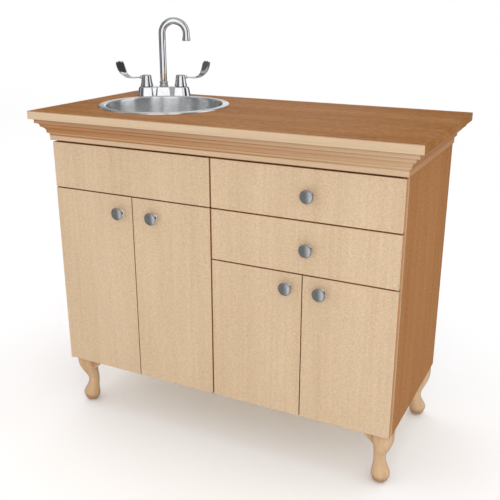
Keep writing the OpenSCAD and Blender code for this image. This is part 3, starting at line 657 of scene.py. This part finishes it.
# ---- boards and small metal parts
KEPT = [  # material, bevel in millimetres, bevel segments and the CAD nodes that stay as drawn
    ("top", 1.0, 3, "countertop"),
    ("crown_front", 0.4, 2, "crown_front"),
    ("crown_side", 0.4, 2, "crown_left crown_right"),
    ("side", 0.5, 3, "side_panel_left side_panel_right"),
    ("apron", 0.5, 3, "front_apron"),
    ("board_x", 0.5, 3, "centre_partition"),
    ("board_z", 0.5, 3, "bottom_panel drawer_divider"),
    ("board_y", 0.5, 3, "false_front_rail"),
    ("hardboard", 0.3, 2, "back_panel drawer_1_bottom drawer_2_bottom"),
    ("front", 1.5, 4, "door_1 door_3 drawer_2_front"),
    ("front_2", 1.5, 4, "false_front door_2 door_4 drawer_1_front"),
    ("board_z", 0.8, 3, "drawer_1_box drawer_2_box"),
    ("zinc", 0.25, 2, "drawer_1_runners drawer_2_runners cabinet_rails pivot_brackets"),
    ("zinc", 0.3, 2, "leg_plates basin_clips faucet_locknuts"),
    ("drain", 0.15, 2, "strainer_basket"),
    ("black", 0.4, 3, "power_inlet"),
]
for mat, bevel, segments, nodes in KEPT:
    for node in nodes.split():
        keep_cad(node, mat, bevel, segments)


# ---- knobs
def knob_profile(r, length):
    """Mushroom knob: a flared foot, a narrow neck and a domed cap. Radius and distance out."""
    foot_edge = 0.8 * MM
    neck = [(0.52, 0.11), (0.42, 0.20), (0.355, 0.32), (0.35, 0.44), (0.41, 0.54), (0.62, 0.615)]
    dome = [(0.90, 0.85), (0.73, 0.915), (0.50, 0.965), (0.25, 0.99), (0, 1)]
    return (
        [(0, 0), (0.56 * r, 0)]
        + arc(0.56 * r, foot_edge, foot_edge, -90, 70, 5)
        + [(a * r, b * length) for a, b in neck]
        + arc(0.88 * r, 0.74 * length, 0.12 * r, -95, 40, 10)
        + [(a * r, b * length) for a, b in dome]
    )


for name in ("door_1", "door_2", "door_3", "door_4", "drawer_1", "drawer_2"):
    node = name + "_knob"
    lo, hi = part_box(node)
    profile = knob_profile((hi.x - lo.x) / 2, hi.y - lo.y)
    part = lathe([(r, -z) for r, z in reversed(profile)])
    c = centre_of(node)
    stand_in(name + "_pull", moved(part, to(c.x, hi.y, c.z) @ spin(-90, "X")), "nickel", node, 50)


# ---- legs
LEG_ROWS = [  # height, distance out to the corner, half width, squareness, in millimetres
    (0, 0, 15.5, 2), (2.5, 0, 18, 2), (6, 0, 20.5, 2), (10, 0.2, 22.4, 2), (12.5, 0.3, 22.6, 2),
    (13.3, 0.3, 22.2, 2), (14.2, 0.4, 23.6, 2), (18, 0.5, 24.6, 2), (24, 0.5, 24.6, 2),
    (34, -1.5, 22, 2), (46, -5, 18.5, 2), (58, -8, 16.5, 2), (70, -8.5, 16.5, 2),
    (82, -6, 18, 2.1), (96, -1, 21, 2.3), (110, 3, 24, 2.6), (124, 5, 26, 3),
    (140, 5, 26.5, 3.6), (156, 5, 26.5, 3.8),
]
WING = [(16, 54), (30, 41), (44, 28.5), (58, 16.5), (72, 6)]  # bracket underside: distance in, drop
GLIDE = [(0, 0), (7.6, 0), (8.6, 0.3), (9.6, 1.1), (10, 2.2), (10, 3.7), (9.7, 4), (0, 4)]
GLIDE_R = 10 * MM


def leg_part(rise):
    """A cabriole leg about its foot, stepping out towards +X and +Y, with both brackets."""
    rows = []
    for z, out, half, square in curve(LEG_ROWS, 5):
        e = 2 / square
        shift = out / math.sqrt(2)
        ring = []
        for a in turns(72, 0.5):
            ca, sa = math.cos(a), math.sin(a)
            ring.append((shift + half * math.copysign(abs(ca) ** e, ca),
                         shift + half * math.copysign(abs(sa) ** e, sa), z))
        rows.append(metres(ring))
    parts = [stack(rows)]
    outline = [(0, 0), (0, -WING[0][1]), *((-x, -z) for x, z in curve(WING, 6)), (-WING[-1][0], 0)]
    outline = metres(outline, 0, rise)
    for swap in (False, True):
        rows = []
        for side, shrink in ((-11, 1.2), (-9.8, 0), (9.8, 0), (11, 1.2)):
            y = side * MM
            ring = [(x + (0.3 if x < 0 else 0) * shrink * MM, y, z) for x, z in outline]
            rows.append([(p[1], p[0], p[2]) for p in ring] if swap else ring)
        parts.append(stack(rows))
    return parts


def make_legs():
    lo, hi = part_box("leg_front_right")
    base = fused("leg", leg_part(hi.z - lo.z), 1.15 * MM, 5)
    g_lo, g_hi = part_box("leg_glides")
    xs = (g_lo.x + GLIDE_R, g_hi.x - GLIDE_R)
    ys = (g_lo.y + GLIDE_R, g_hi.y - GLIDE_R)
    for node, x, y in (("leg_front_left", xs[0], ys[0]), ("leg_front_right", xs[1], ys[0]),
                       ("leg_back_left", xs[0], ys[1]), ("leg_back_right", xs[1], ys[1])):
        sx, sy = math.copysign(1, x), (1 if y == ys[1] else -1)
        place = to(x, y, lo.z) @ Matrix.Diagonal((sx, sy, 1, 1))
        n_lo, n_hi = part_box(node)
        verts = [[min(max(c, a), b) for c, a, b in zip(place @ v.co, n_lo, n_hi)]
                 for v in base.vertices]  # kept inside the CAD leg's box
        faces = [tuple(p.vertices) for p in base.polygons]
        if sx * sy < 0:
            faces = [tuple(reversed(f)) for f in faces]
        stand_in(node + "_carved", (verts, faces), "leg", node, 60)
    feet = [moved(lathe(metres(GLIDE), 64), to(x, y)) for x in xs for y in ys]
    stand_in("leg_glide_set", merge(*feet), "rubber", "leg_glides", 50)


make_legs()


# ---- basin and drain
b_lo, b_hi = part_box("basin")
basin_c = (b_lo + b_hi) / 2
RIM_R = (b_hi.x - b_lo.x) / 2
TOP_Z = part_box("countertop")[1].z
WALL = 1.2 * MM
BOWL_R = RIM_R - 22 * MM
LIP_Z = b_hi.z
DISH_Z = b_lo.z + WALL
FLOOR_Z = DISH_Z + 3 * MM
DRAIN_R = 24 * MM
BASIN = to(basin_c.x, basin_c.y)


def make_basin():
    corner = 34 * MM
    roll = 5 * MM
    edge = LIP_Z - TOP_Z
    inner = (
        [(DRAIN_R, DISH_Z), (DRAIN_R + 19 * MM, DISH_Z), (DRAIN_R + 22 * MM, DISH_Z + 0.9 * MM),
         (DRAIN_R + 25 * MM, FLOOR_Z), (DRAIN_R + 40 * MM, FLOOR_Z + 0.9 * MM)]
        + arc(BOWL_R - corner, FLOOR_Z + corner + 4 * MM, corner, 277, 358, 22)
        + [(BOWL_R - 0.4 * MM, FLOOR_Z + corner + 30 * MM), (BOWL_R, LIP_Z - roll - 22 * MM)]
        + arc(BOWL_R + roll, LIP_Z - roll, roll, 180, 95, 9)
        + [(BOWL_R + roll + 3 * MM, LIP_Z)]
        + arc(RIM_R - edge, TOP_Z, edge, 90, 4, 9)
    )
    line = [Vector((r, 0, z)) for r, z in inner]
    outer = []
    for i, p in enumerate(line):
        way = (line[min(i + 1, len(line) - 1)] - line[max(i - 1, 0)]).normalized()
        outer.append((p.x + way.z * WALL, p.z - way.x * WALL))
    outer[-1] = (RIM_R - WALL, TOP_Z)
    inner[-1] = (RIM_R, TOP_Z)
    outer[0] = (DRAIN_R, DISH_Z - WALL)
    loop = [(r, max(z, DISH_Z - WALL)) for r, z in inner + outer[::-1]]
    stand_in("wash_basin", moved(lathe(loop[::-1], 256), BASIN), "basin", "basin", 45)


make_basin()


def thread(profile, z, end, pitch, *turn):
    """Adds one turn's points, with heights from 0, to a profile every pitch from z up to end.
    Returns the height it comes to."""
    while z < end:
        profile += [(r, z + rise) for r, rise in turn]
        z += pitch
    return z


def make_drain():
    lo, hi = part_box("drain_flange")
    r = (hi.x - lo.x) / 2
    tail = 21 * MM
    profile = metres([(-6, 0.4), (-5.6, 0), (-0.6, 0), (0, 0.6)], tail, lo.z)
    thread(profile, lo.z + 16 * MM, DISH_Z - 7 * MM, 1.8 * MM,
           (tail, 0), (tail - 0.7 * MM, 0.6 * MM), (tail, 1.2 * MM))
    profile += [(tail, DISH_Z - 0.2 * MM)]
    profile += metres([(-0.6, 0), (0, 0.5), (-0.5, 1.3)], r, DISH_Z) + [(r - 3 * MM, hi.z)]
    profile += metres([(-0.2, -0.1), (-1.6, -1.2), (-2, -3), (-2, -15.8), (-6, -16.3)], tail, hi.z)
    stand_in("drain_fitting", moved(lathe(profile, 128), BASIN), "drain", "drain_flange", 35)
    lo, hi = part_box("drain_locknut")
    r = (hi.x - lo.x) / 2
    hole = tail + 0.2 * MM
    face_z = hi.z - 3 * MM
    ring = lathe([(hole, face_z), *metres([(-0.5, -3), (0, -2.5), (0, -0.5), (-0.5, 0)], r, hi.z),
                  (hole, hi.z)])
    sides = 96
    rows = []
    for z, inset in ((lo.z, 1.2), (lo.z + 1 * MM, 0.2), (hi.z - 4 * MM, 0.2), (face_z, 0.6)):
        rows.append(circle(lambda a: r - (1 + inset + 2.2 * abs(math.sin(2 * a)) ** 0.5) * MM,
                           z, sides))  # four lugs
    rows += [circle(hole, face_z, sides), circle(hole, lo.z, sides), rows[0]]
    nut = merge(ring, stack(rows, close=False))
    stand_in("drain_nut", moved(nut, BASIN), "black", "drain_locknut", 35)


make_drain()


# ---- faucet
LEFT = Vector(JOINTS["left_handle_turn"]["pos_m"])
RIGHT = Vector(JOINTS["right_handle_turn"]["pos_m"])
mid = (LEFT + RIGHT) / 2
ACROSS = (RIGHT - LEFT).xy.normalized()
FAUCET = to(mid.x, mid.y) @ Matrix.Rotation(math.atan2(ACROSS.y, ACROSS.x), 4, "Z")
HALF_GAP = (RIGHT - LEFT).xy.length / 2
BASE_TOP = TOP_Z + 28 * MM
HUB_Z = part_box("left_handle")[0].z
HUB_H = 35 * MM
SPOUT_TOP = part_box("spout")[1].z
TUBE_R = 10.6 * MM
ARCH_R = 37 * MM


def make_faucet_base():
    long_half, deep_half, waist_half = 83 * MM, 25 * MM, 30 * MM

    def capsule(inset, waist, z):
        """Capsule outline with extra points along its straight sides."""
        r, lobe, n = deep_half - inset, long_half - deep_half, 24
        side = [lobe * (1 - 2 * i / n) for i in range(1, n)]
        pts = arc(lobe, 0, r, -90, 90, n) + [(x, r) for x in side]
        pts += arc(-lobe, 0, r, 90, 270, n) + [(-x, -r) for x in side]
        return [(x, y * (1 - waist * math.exp(-((x / waist_half) ** 4))), z) for x, y in pts]

    rows = []
    lean = 7 * MM
    top_round = 4 * MM
    h = BASE_TOP - TOP_Z
    slope = [(h * t, lean * t ** 1.25 * 0.8) for t in (0.12, 0.25, 0.4, 0.55, 0.7, 0.82)]
    for z, inset in [(0, 0.6 * MM), (0.8 * MM, 0), *slope]:
        rows.append(capsule(inset, 0.16 + 0.10 * z / h, TOP_Z + z))
    for i in range(1, 8):
        a = math.radians(90 * i / 7)
        rows.append(capsule(lean * 0.72 + top_round * (1 - math.cos(a)), 0.26,
                            BASE_TOP - top_round + top_round * math.sin(a)))
    for inset in (14 * MM, 19 * MM):
        rows.append(capsule(inset, 0.2, BASE_TOP))
    parts = [stack(rows)]
    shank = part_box("faucet_base")[0].z
    shank_r = 10 * MM
    for s in (-1, 1):
        at = to(s * HALF_GAP, 0)
        profile = metres([(7, 0.3), (7.3, 0), (9.4, 0), (10, 0.6)], 0, shank)
        thread(profile, shank + 2 * MM, TOP_Z - 3 * MM, 2 * MM,
               (shank_r, 0), (9.3 * MM, 0.7 * MM), (shank_r, 1.4 * MM))
        profile += metres([(10, 1), (7, 1)], 0, TOP_Z)
        core = metres([(0, -1), (6, -1)], 0, BASE_TOP) + metres([(6, 18), (0, 18.5)], 0, HUB_Z)
        collar = metres([(0, -1), (17.6, -1), (17.6, 0.4), (17.0, 0.9), (0, 0.9)], 0, BASE_TOP)
        for shape, sides in ((profile, 48), (core, 48), (collar, 72)):
            parts.append(moved(lathe(shape, sides), at))
    stand_in("faucet_body", moved(merge(*parts), FAUCET), "chrome", "faucet_base", 40)


make_faucet_base()


def make_spout():
    nut_lo, nut_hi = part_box("spout_nut")
    hole = TUBE_R + 0.1 * MM
    profile = [(hole, nut_lo.z)] + metres([
        (13.4, 0), (13.9, 0.5), (13.9, 2.4), (13.2, 3.2), (12.4, 4.2), (12.0, 6.5), (12.1, 9),
        (12.7, 10.4), (13.5, 11.2), (13.7, 12), (13.5, 13), (12.2, 14.4)], 0, nut_lo.z)
    profile += [(11.4 * MM, nut_hi.z), (hole, nut_hi.z)]
    stand_in("spout_collar_nut", moved(lathe(profile), FAUCET), "chrome", "spout_nut", 40)
    leg_z = SPOUT_TOP - TUBE_R - ARCH_R
    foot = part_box("spout")[0].z
    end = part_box("spout_aerator")[0].z + 13 * MM
    line = [(0, 0, foot + (leg_z - foot) * i / 12) for i in range(12)]
    for degrees in range(0, 181, 4):
        a = math.radians(degrees)
        line.append((ARCH_R - ARCH_R * math.cos(a), 0, leg_z + ARCH_R * math.sin(a)))
    line += [(2 * ARCH_R, 0, leg_z - (leg_z - end) * i / 4) for i in range(1, 5)]
    tube, _ = sweep(line, TUBE_R, 64)
    stand_in("gooseneck", moved(tube, FAUCET), "chrome", "spout", 50)
    lo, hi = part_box("spout_aerator")
    profile = [(0, 5 * MM)] + metres([
        (-3.4, 5), (-3.2, 0.6), (-2.6, 0), (-0.8, 0), (0, 0.8), (0, 2.4), (-0.35, 2.9), (0, 3.4),
        (-0.3, 8), (-1.0, 12), (-1.7, 13.6)], (hi.x - lo.x) / 2, 0) + [(0, 14 * MM)]
    at = FAUCET @ to(2 * ARCH_R, 0, lo.z)
    stand_in("spout_outlet", moved(lathe(profile), at), "chrome", "spout_aerator", 35)


make_spout()

BLADE = [  # distance out, height, width and twist of the wrist blade, in millimetres and degrees
    (12, 0, 9, 0), (20, -0.2, 8.4, 0), (28, -0.5, 8.6, 0), (42, -1, 11, 10), (54, 1, 15, 22),
    (63, 6, 20, 36), (70, 14, 25, 48), (76, 24, 28, 56), (80, 35, 29, 60), (83, 45, 27, 62),
    (84, 49.3, 25.5, 62),
]


def blade_part():
    """A thin curved blade with rounded edges and three soft lobes at its tip."""
    line = curve(BLADE, 5)
    n, m = len(line), 24
    sheets = {1: [], -1: []}
    for i, (x, z, width, twist) in enumerate(line):
        a, b = line[max(i - 1, 0)], line[min(i + 1, n - 1)]
        w = Vector((b[0] - a[0], 0, b[1] - a[1])).normalized()
        t = math.radians(twist)
        up = Vector((-w.z, 0, w.x))
        flat = Vector((0, math.cos(t), 0)) + up * math.sin(t)
        normal = up * math.cos(t) - Vector((0, math.sin(t), 0))
        late = max(0.0, (i / (n - 1) - 0.8) / 0.2)
        for side in (1, -1):
            row = []
            for k in range(m + 1):
                u = -1 + 2 * k / m
                fall = (1 - abs(u) ** 5) ** 0.5
                lobes = abs(math.cos(1.5 * math.pi * u)) ** 0.8
                back = late * (1 - lobes) * 3.2 + late * 6 * u * u * u * u
                thick = 2.1 * fall * (1 - 0.35 * i / (n - 1)) * (1 - late ** 6) ** 0.5
                dish = -1.6 * (1 - u * u) * min(1.0, i / (0.7 * n))
                out = normal * (side * thick + dish)
                row.append(Vector((x, 0, z)) + flat * (u * width / 2) + out - w * back)
            sheets[side] += metres(row)
    verts = sheets[1] + sheets[-1]
    wide = m + 1
    off = n * wide
    faces = []
    for i in range(n - 1):
        for k in range(m):
            a = i * wide + k
            faces.append((a, a + wide, a + wide + 1, a + 1))
            b = off + a
            faces.append((b, b + 1, b + wide + 1, b + wide))
        for k, flip in ((0, True), (m, False)):
            a = i * wide + k
            quad = (a, a + wide, off + a + wide, off + a)
            faces.append(quad[::-1] if flip else quad)
    for k in range(m):
        faces.append((k, k + 1, off + k + 1, off + k))
        a = (n - 1) * wide + k
        faces.append((a + 1, a, off + a, off + a + 1))
    return verts, faces


def make_handles():
    root = 27 * MM
    r0, r1 = 20 * MM, 15 * MM
    inside = 6.2 * MM
    almost_0 = 0.01 * MM
    profile = [(inside, 0)] + metres([
        (-0.6, 0), (0, 0.6), (-0.2, 2.4), (-1.3, 5), (-2.4, 10), (-3.5, 16), (-4.3, 22)], r0, 0)
    profile += metres([
        (0.1, 27), (-0.2, 30), (-1.0, 32.2), (-2.8, 33.8), (-6, 34.6), (-8.2, 34.7), (-8.6, 34.3),
        (-9, 34.3), (-9.3, 34.8)], r1, 0)
    profile += [(1.5 * MM, HUB_H), (almost_0, HUB_H), (almost_0, 21 * MM), (inside, 20.9 * MM)]
    hub = lathe(profile)
    boss = metres([(0, 0), (4.7, 0), (4.9, 6.5), (4.6, 8.6), (4.1, 9.6), (0, 10)])
    stub = moved(lathe(boss, 48), to(r1 - 4 * MM, 0, root) @ spin(90, "Y"))
    blade = moved(blade_part(), to(0, 0, root))
    for node, s in (("left_handle", -1), ("right_handle", 1)):
        at = FAUCET @ to(s * HALF_GAP, 0, HUB_Z) @ Matrix.Diagonal((s, 1, 1, 1))
        part = moved(merge(hub, stub, blade), at)
        stand_in(node.replace("handle", "wrist_blade"), part, "chrome", node, 50)


make_handles()


# ---- hoses, tanks and equipment
FRESH_SPIGOT = (-440, 100)
HEATER_PORT = (-48, 60)
WASTE_SPIGOT_Y = 105
SUPPLY = [  # suction, cold, heater and hot hose, in millimetres
    [(*FRESH_SPIGOT, 526), (*FRESH_SPIGOT, 548), (-441, 92, 566), (-444, 70, 580),
     (-446, 50, 590), (-446, 40, 599), (-446, 40, 608)],
    [(-446, 40, 672), (-446, 42, 690), (-445, 70, 704), (-440, 130, 708), (-420, 186, 712),
     (-382, 212, 730), (-352, 214, 768), (-344, 213, 820), (-343.9, 212.9, 870)],
    [(-428, 40, 640), (-411, 42, 638), (-384, 60, 622), (-350, 100, 592), (-290, 142, 566),
     (-200, 166, 552), (-110, 146, 548), (-64, 100, 552), (-48, 68, 562), (*HEATER_PORT, 578)],
    [(*HEATER_PORT, 802), (-48, 62, 818), (-62, 104, 838), (-110, 168, 846), (-180, 202, 838),
     (-280, 206, 812), (-344, 182, 792), (-398, 166, 784), (-430, 164, 796),
     (-438.6, 165.2, 826), (-438.6, 165.2, 870)],
]
DRAIN_RUN = [(-268, 18, 655), (-244, 42, 626), (-205, 78, 600), (-165, 98, 580), (-136, 104, 560)]


def along(start, way, part):
    """A part built up Z from the origin, placed at start and pointing along way."""
    turn = Vector(way).to_track_quat("Z", "Y").to_matrix().to_4x4()
    return moved(part, Matrix.Translation(start) @ turn)


def make_supply_hoses():
    r = 6.4 * MM
    sleeve_uv = (0.12, 0.37)  # one point of the weave, for the plain crimped sleeves
    crimp = [(0, 0), (r, 0)] + metres([
        (0.35, 0.5), (0.35, 5), (-0.1, 5.6), (0.35, 6.2), (0.35, 12), (0.05, 13)], r, 0)
    crimp.append((0, 13.2 * MM))
    parts, uv = [], []
    for points in SUPPLY:
        line = resample(curve(metres(points), 24), 2.2 * MM)
        tube, tube_uv = sweep(line, r, 32, (8, 5 * MM))
        parts.append(tube)
        uv += tube_uv
        for p, q in ((line[0], line[1]), (line[-1], line[-2])):
            parts.append(along(p, q - p, lathe(crimp, 40)))
            uv += [sleeve_uv] * len(parts[-1][0])
    stand_in("braided_supply_hoses", merge(*parts), "braid", "supply_hoses", 50, uv)


def make_waste_hose():
    lo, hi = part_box("waste_hose")
    end = (centre_of("waste_water_tank").x, WASTE_SPIGOT_Y * MM)
    drop = [(basin_c.x, basin_c.y, hi.z), (basin_c.x, basin_c.y, hi.z - 24 * MM)]
    points = [*drop, *metres(DRAIN_RUN), (*end, lo.z + 14 * MM), (*end, lo.z)]
    step = 0.75 * MM
    line = resample(curve(points, 40), step)
    total = step * (len(line) - 1)
    cuff, pitch = 17 * MM, 5.2 * MM

    def ribbed(run):
        if min(run, total - run) < cuff:
            return 16.6 * MM
        return 15.3 * MM + 1.5 * MM * abs(math.cos(math.pi * run / pitch)) ** 0.7

    tube, _ = sweep(line, ribbed, 40)
    stand_in("ribbed_waste_hose", tube, "hose", "waste_hose", 60)


make_supply_hoses()
make_waste_hose()

TANK_GROOVES = (  # four rows a groove: parts of the tank's height
    0.12, 0.13, 0.155, 0.17, 0.30, 0.305, 0.33, 0.335, 0.48, 0.485, 0.51, 0.515,
    0.66, 0.665, 0.69, 0.695, 0.83, 0.845, 0.87, 0.885)
CAP_ROWS = (  # height, inset and depth of the grip ribs, in millimetres
    (0, 1.4, 0), (0.6, 0.9, 0.3), (2, 0.7, 1), (12.4, 0.7, 1), (13.6, 1.0, 0.4), (14.8, 1.6, 0),
    (16.2, 3.0, 0), (17, 5.5, 0), (17, 9, 0), (16.2, 10.2, 0), (16.2, 20, 0))
NECK_R = 27 * MM


def make_tank(node, tank_mat, spigot, spigot_r):
    lo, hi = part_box(node)
    c = centre_of(node)
    body_top = hi.z - 17 * MM
    h = body_top - lo.z
    rows = [(lo.z + h * t, (0, 2.2, 2.2, 0)[i % 4] * MM) for i, t in enumerate(TANK_GROOVES)]
    w, d = hi.x - lo.x - 0.4 * MM, hi.y - lo.y - 0.4 * MM
    shell = moved(soft_plate(w, d, lo.z, body_top, 24 * MM, 11 * MM, 12, rows), to(c.x, c.y))
    bore = 23 * MM
    base = body_top - 2 * MM
    root = NECK_R - 1 * MM
    profile = [(bore, base), *metres([(1.5, 0), (0.2, 3.4), (-1, 4)], NECK_R, base)]
    thread(profile, base + 5 * MM, hi.z - 7 * MM, 2.6 * MM,
           (root, 0), (NECK_R, 0.8 * MM), (root, 1.6 * MM))
    profile += metres([(-1, -4.2), (-1.6, -3.4)], NECK_R, hi.z) + [(bore, hi.z - 3.4 * MM)]
    neck = moved(lathe(profile), to(c.x, NECK_Y))
    barb = [(0, base), (spigot_r + 3 * MM, base), (spigot_r, base + 3 * MM)]
    thread(barb, base + 5 * MM, hi.z - 4 * MM, 3.2 * MM, *metres(
        [(0, 0), (-0.9, 2.6), (-0.1, 2.8)], spigot_r, 0))
    barb += [(spigot_r - 0.6 * MM, hi.z), (0, hi.z)]
    stub = moved(lathe(barb, 64), to(*spigot))
    stand_in(node + "_moulding", merge(shell, neck, stub), tank_mat, node, 32)


def make_cap(node, mat):
    lo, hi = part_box(node)
    r = (hi.x - lo.x) / 2
    sides, ribs = 240, 40
    skirt = NECK_R + 0.3 * MM
    rows = [circle(skirt, lo.z + z * MM, sides) for z in (13, 0)]
    for z, inset, rib in CAP_ROWS:
        rows.append(circle(
            lambda a: r - (inset + rib * 1.1 * (0.5 - 0.5 * math.cos(ribs * a))) * MM,
            lo.z + z * MM, sides))
    part = moved(stack(rows), to(centre_of(node.replace("_tank_cap", "_water_tank")).x, NECK_Y))
    stand_in(node.replace("_cap", "_screw_cap"), part, mat, node, 35)


NECK_Y = centre_of("fresh_tank_cap").y
make_tank("fresh_water_tank", "fresh", tuple(c * MM for c in FRESH_SPIGOT), 8 * MM)
make_cap("fresh_tank_cap", "blue")
waste_spigot = (centre_of("waste_water_tank").x, WASTE_SPIGOT_Y * MM)
make_tank("waste_water_tank", "waste", waste_spigot, 20 * MM)
make_cap("waste_tank_cap", "dark")


def make_pump():
    lo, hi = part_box("water_pump")
    mid_z = (lo.z + hi.z) / 2
    px = lo.x + 38 * MM
    foot_x = lo.x + 4 * MM
    head_y = 40 * MM
    motor_r, motor_end, length = 27 * MM, -122 * MM, 134 * MM

    def block(x0, x1, y0, y1, half_height, edge, n=3):
        return box_part((x0, y0, mid_z - half_height), (x1, y1, mid_z + half_height), edge, n)

    parts = [block(lo.x, lo.x + 5 * MM, lo.y, hi.y, 34 * MM, 1.2 * MM)]
    for y in (-110 * MM, -40 * MM):  # saddles under the motor
        parts.append(block(foot_x, px, y, y + 14 * MM, 20 * MM, 1.5 * MM))
    profile = [(0, 0)] + metres([(-6, 0), (-2, 1.5), (0, 5), (0, 12)], motor_r, 0)
    z = thread(profile, 14 * MM, length - 26 * MM, 6 * MM, *metres(  # cooling fins
        [(0, 0), (-2.4, 0.5), (-2.4, 3), (0, 3.5)], motor_r, 0))
    profile += [(motor_r, z), *metres([(0, -6), (-1.5, -2)], motor_r, length), (0, length)]
    parts.append(moved(lathe(profile, 72), to(px, motor_end, mid_z) @ spin(-90, "X")))
    parts.append(block(foot_x, px + 18 * MM, 10 * MM, 60 * MM, 26 * MM, 3.5 * MM, 6))
    port = metres([(0, 0), (8, 0), (8, 1.5), (7, 2.5), (8, 4), (8, 60), (7, 61.5), (8, 62.5),
                   (8, 64), (0, 64)])
    parts.append(moved(lathe(port, 40), to(px, head_y, mid_z - 32 * MM)))
    outlet = metres([(0, 0), (8, 0), (8, 15), (7.2, 16), (8, 17), (8, 17.7), (0, 18)])
    parts.append(moved(lathe(outlet, 40), to(px, head_y, mid_z) @ spin(90, "Y")))
    screw = metres([(0, 0), (3, 0), (3, 1.4), (2.2, 2.2), (1.1, 2.2), (1.1, 1.2), (0, 1.2)])
    for y in (16 * MM, 54 * MM):
        for z in (-20 * MM, 20 * MM):
            at = to(px + 17.4 * MM, y, mid_z + z)
            parts.append(moved(lathe(screw, 24), at @ spin(90, "Y")))
    stand_in("diaphragm_pump", merge(*parts), "black", "water_pump", 35)


make_pump()


def make_heater():
    lo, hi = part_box("water_heater")
    c = centre_of("water_heater")
    z0, z1 = lo.z + 12 * MM, hi.z - 12 * MM
    groove = [(z, inset) for inset, z in metres([(0, 26), (1, 26.4), (1, 28), (0, 28.4)], 0, z0)]
    case = soft_plate(hi.x - lo.x, hi.y - lo.y, z0, z1, 10 * MM, 7 * MM, 10, groove)
    pipe = lathe(metres([(0, 0), (7.4, 0), (8, 0.6), (8, 4), (7.3, 4.8), (8, 5.6), (8, 16),
                         (0, 16)]), 48)
    x, y = (v * MM for v in HEATER_PORT)
    parts = [moved(case, to(c.x, c.y)), moved(pipe, to(x, y, lo.z)),
             moved(pipe, to(x, y, hi.z) @ spin(180, "X"))]
    stand_in("heater_casing", merge(*parts), "enamel", "water_heater", 35)


make_heater()


# ---- floor, light and camera
def stage_plane():
    """A pale floor that curves up far behind the cabinet."""
    half_width, bend_y, bend_r = 12.0, 4.5, 2.5
    line = [(y, 0.0) for y in (-9.0, -4.0, -1.0, 2.0, bend_y)]
    line += arc(bend_y, bend_r, bend_r, -84, 0, 14) + [(bend_y + bend_r, 7.0)]
    verts = [(x, y, z) for y, z in line for x in (-half_width, half_width)]
    faces = [(2 * i, 2 * i + 1, 2 * i + 3, 2 * i + 2) for i in range(len(line) - 1)]
    obj = new_object("floor", verts, faces)
    obj.data.shade_smooth()
    s = Shade("pale_floor", Roughness=0.85)
    s.set("Base Color", s.mix(s.noise(1.5, 2), (0.97, 0.97, 0.975), (0.95, 0.95, 0.955)))
    obj.data.materials.append(s.mat)
    obj.visible_glossy = False


stage_plane()


def softbox(name, place, aim, size, power):
    """A lamp for the diffuse light only: reflections come from the world."""
    data = bpy.data.lights.new(name, "AREA")
    data.shape = "RECTANGLE"
    data.size, data.size_y = size
    data.energy = power
    obj = bpy.data.objects.new(name, data)
    bpy.context.scene.collection.objects.link(obj)
    obj.location = place
    obj.rotation_mode = "QUATERNION"
    obj.rotation_quaternion = (Vector(aim) - Vector(place)).to_track_quat("-Z", "Y")
    obj.visible_camera = False
    obj.visible_glossy = False


softbox("key", (1.5, -2.5, 1.5), (0.3, 0, 0.6), (1.8, 1.8), 18)
softbox("front_fill", (-0.4, -3.6, 0.9), (0, 0, 0.5), (2.6, 1.6), 2)
softbox("overhead", (0.2, 0.3, 3.4), (0, 0, 0.5), (3.0, 2.2), 4)

PANELS = [  # where each panel of the reflected studio starts, as part of a turn, and its brightness
    (0.0, 0.30), (0.05, 0.8), (0.11, 0.07), (0.185, 0.9), (0.205, 0.07), (0.31, 0.45),
    (0.38, 0.12), (0.475, 0.5), (0.515, 1.35), (0.60, 0.10), (0.617, 1.35), (0.67, 0.06),
    (0.775, 1.3), (0.87, 0.2),
]
PANEL_BLUR = 0.008
CEILING = (0.55, 0.555, 0.56)


def make_world():
    """Even white light, and for reflections a studio of white panels between grey gaps."""
    world = bpy.data.worlds.new("studio")
    bpy.context.scene.world = world
    world.use_nodes = True
    g = Graph(world.node_tree)
    x, y, z = g.axes("Generated")
    turn = g.calc("ARCTAN2", x, g.times(y, -1))
    part = g.calc("ADD", g.calc("DIVIDE", turn, 2 * math.pi), 0.5)
    stops = []
    for (at, level), (following, _) in zip(PANELS, PANELS[1:] + [(1.0, 0)]):
        colour = (level, level, level * 1.01)
        stops += [(at, colour), (following - PANEL_BLUR, colour)]
    studio = g.mix(g.step(z, 0.55, 0.9), g.ramp(part, *stops), CEILING)
    glossy = g.add("ShaderNodeLightPath").outputs["Is Glossy Ray"]
    even, seen = (g.add("ShaderNodeBackground", {0: colour, 1: strength}).outputs[0]
                  for colour, strength in (((1, 1, 1, 1), 1.08), (studio, 1.0)))
    join = g.add("ShaderNodeMixShader", {0: glossy, 1: even, 2: seen})
    g.add("ShaderNodeOutputWorld", {0: join.outputs[0]})


make_world()

scene = bpy.context.scene
scene.view_settings.view_transform = "Standard"
scene.view_settings.look = "None"

cam_data = bpy.data.cameras.new("camera")
cam_data.sensor_width = 36.0
cam_data.lens = 52.93
cam_data.clip_start, cam_data.clip_end = 0.05, 60
camera = bpy.data.objects.new("camera", cam_data)
scene.collection.objects.link(camera)
camera.location = (0.9011, -1.7824, 1.2064)
camera.rotation_euler = (math.radians(90 - 18.99), 0, math.radians(26.69))
scene.camera = camera
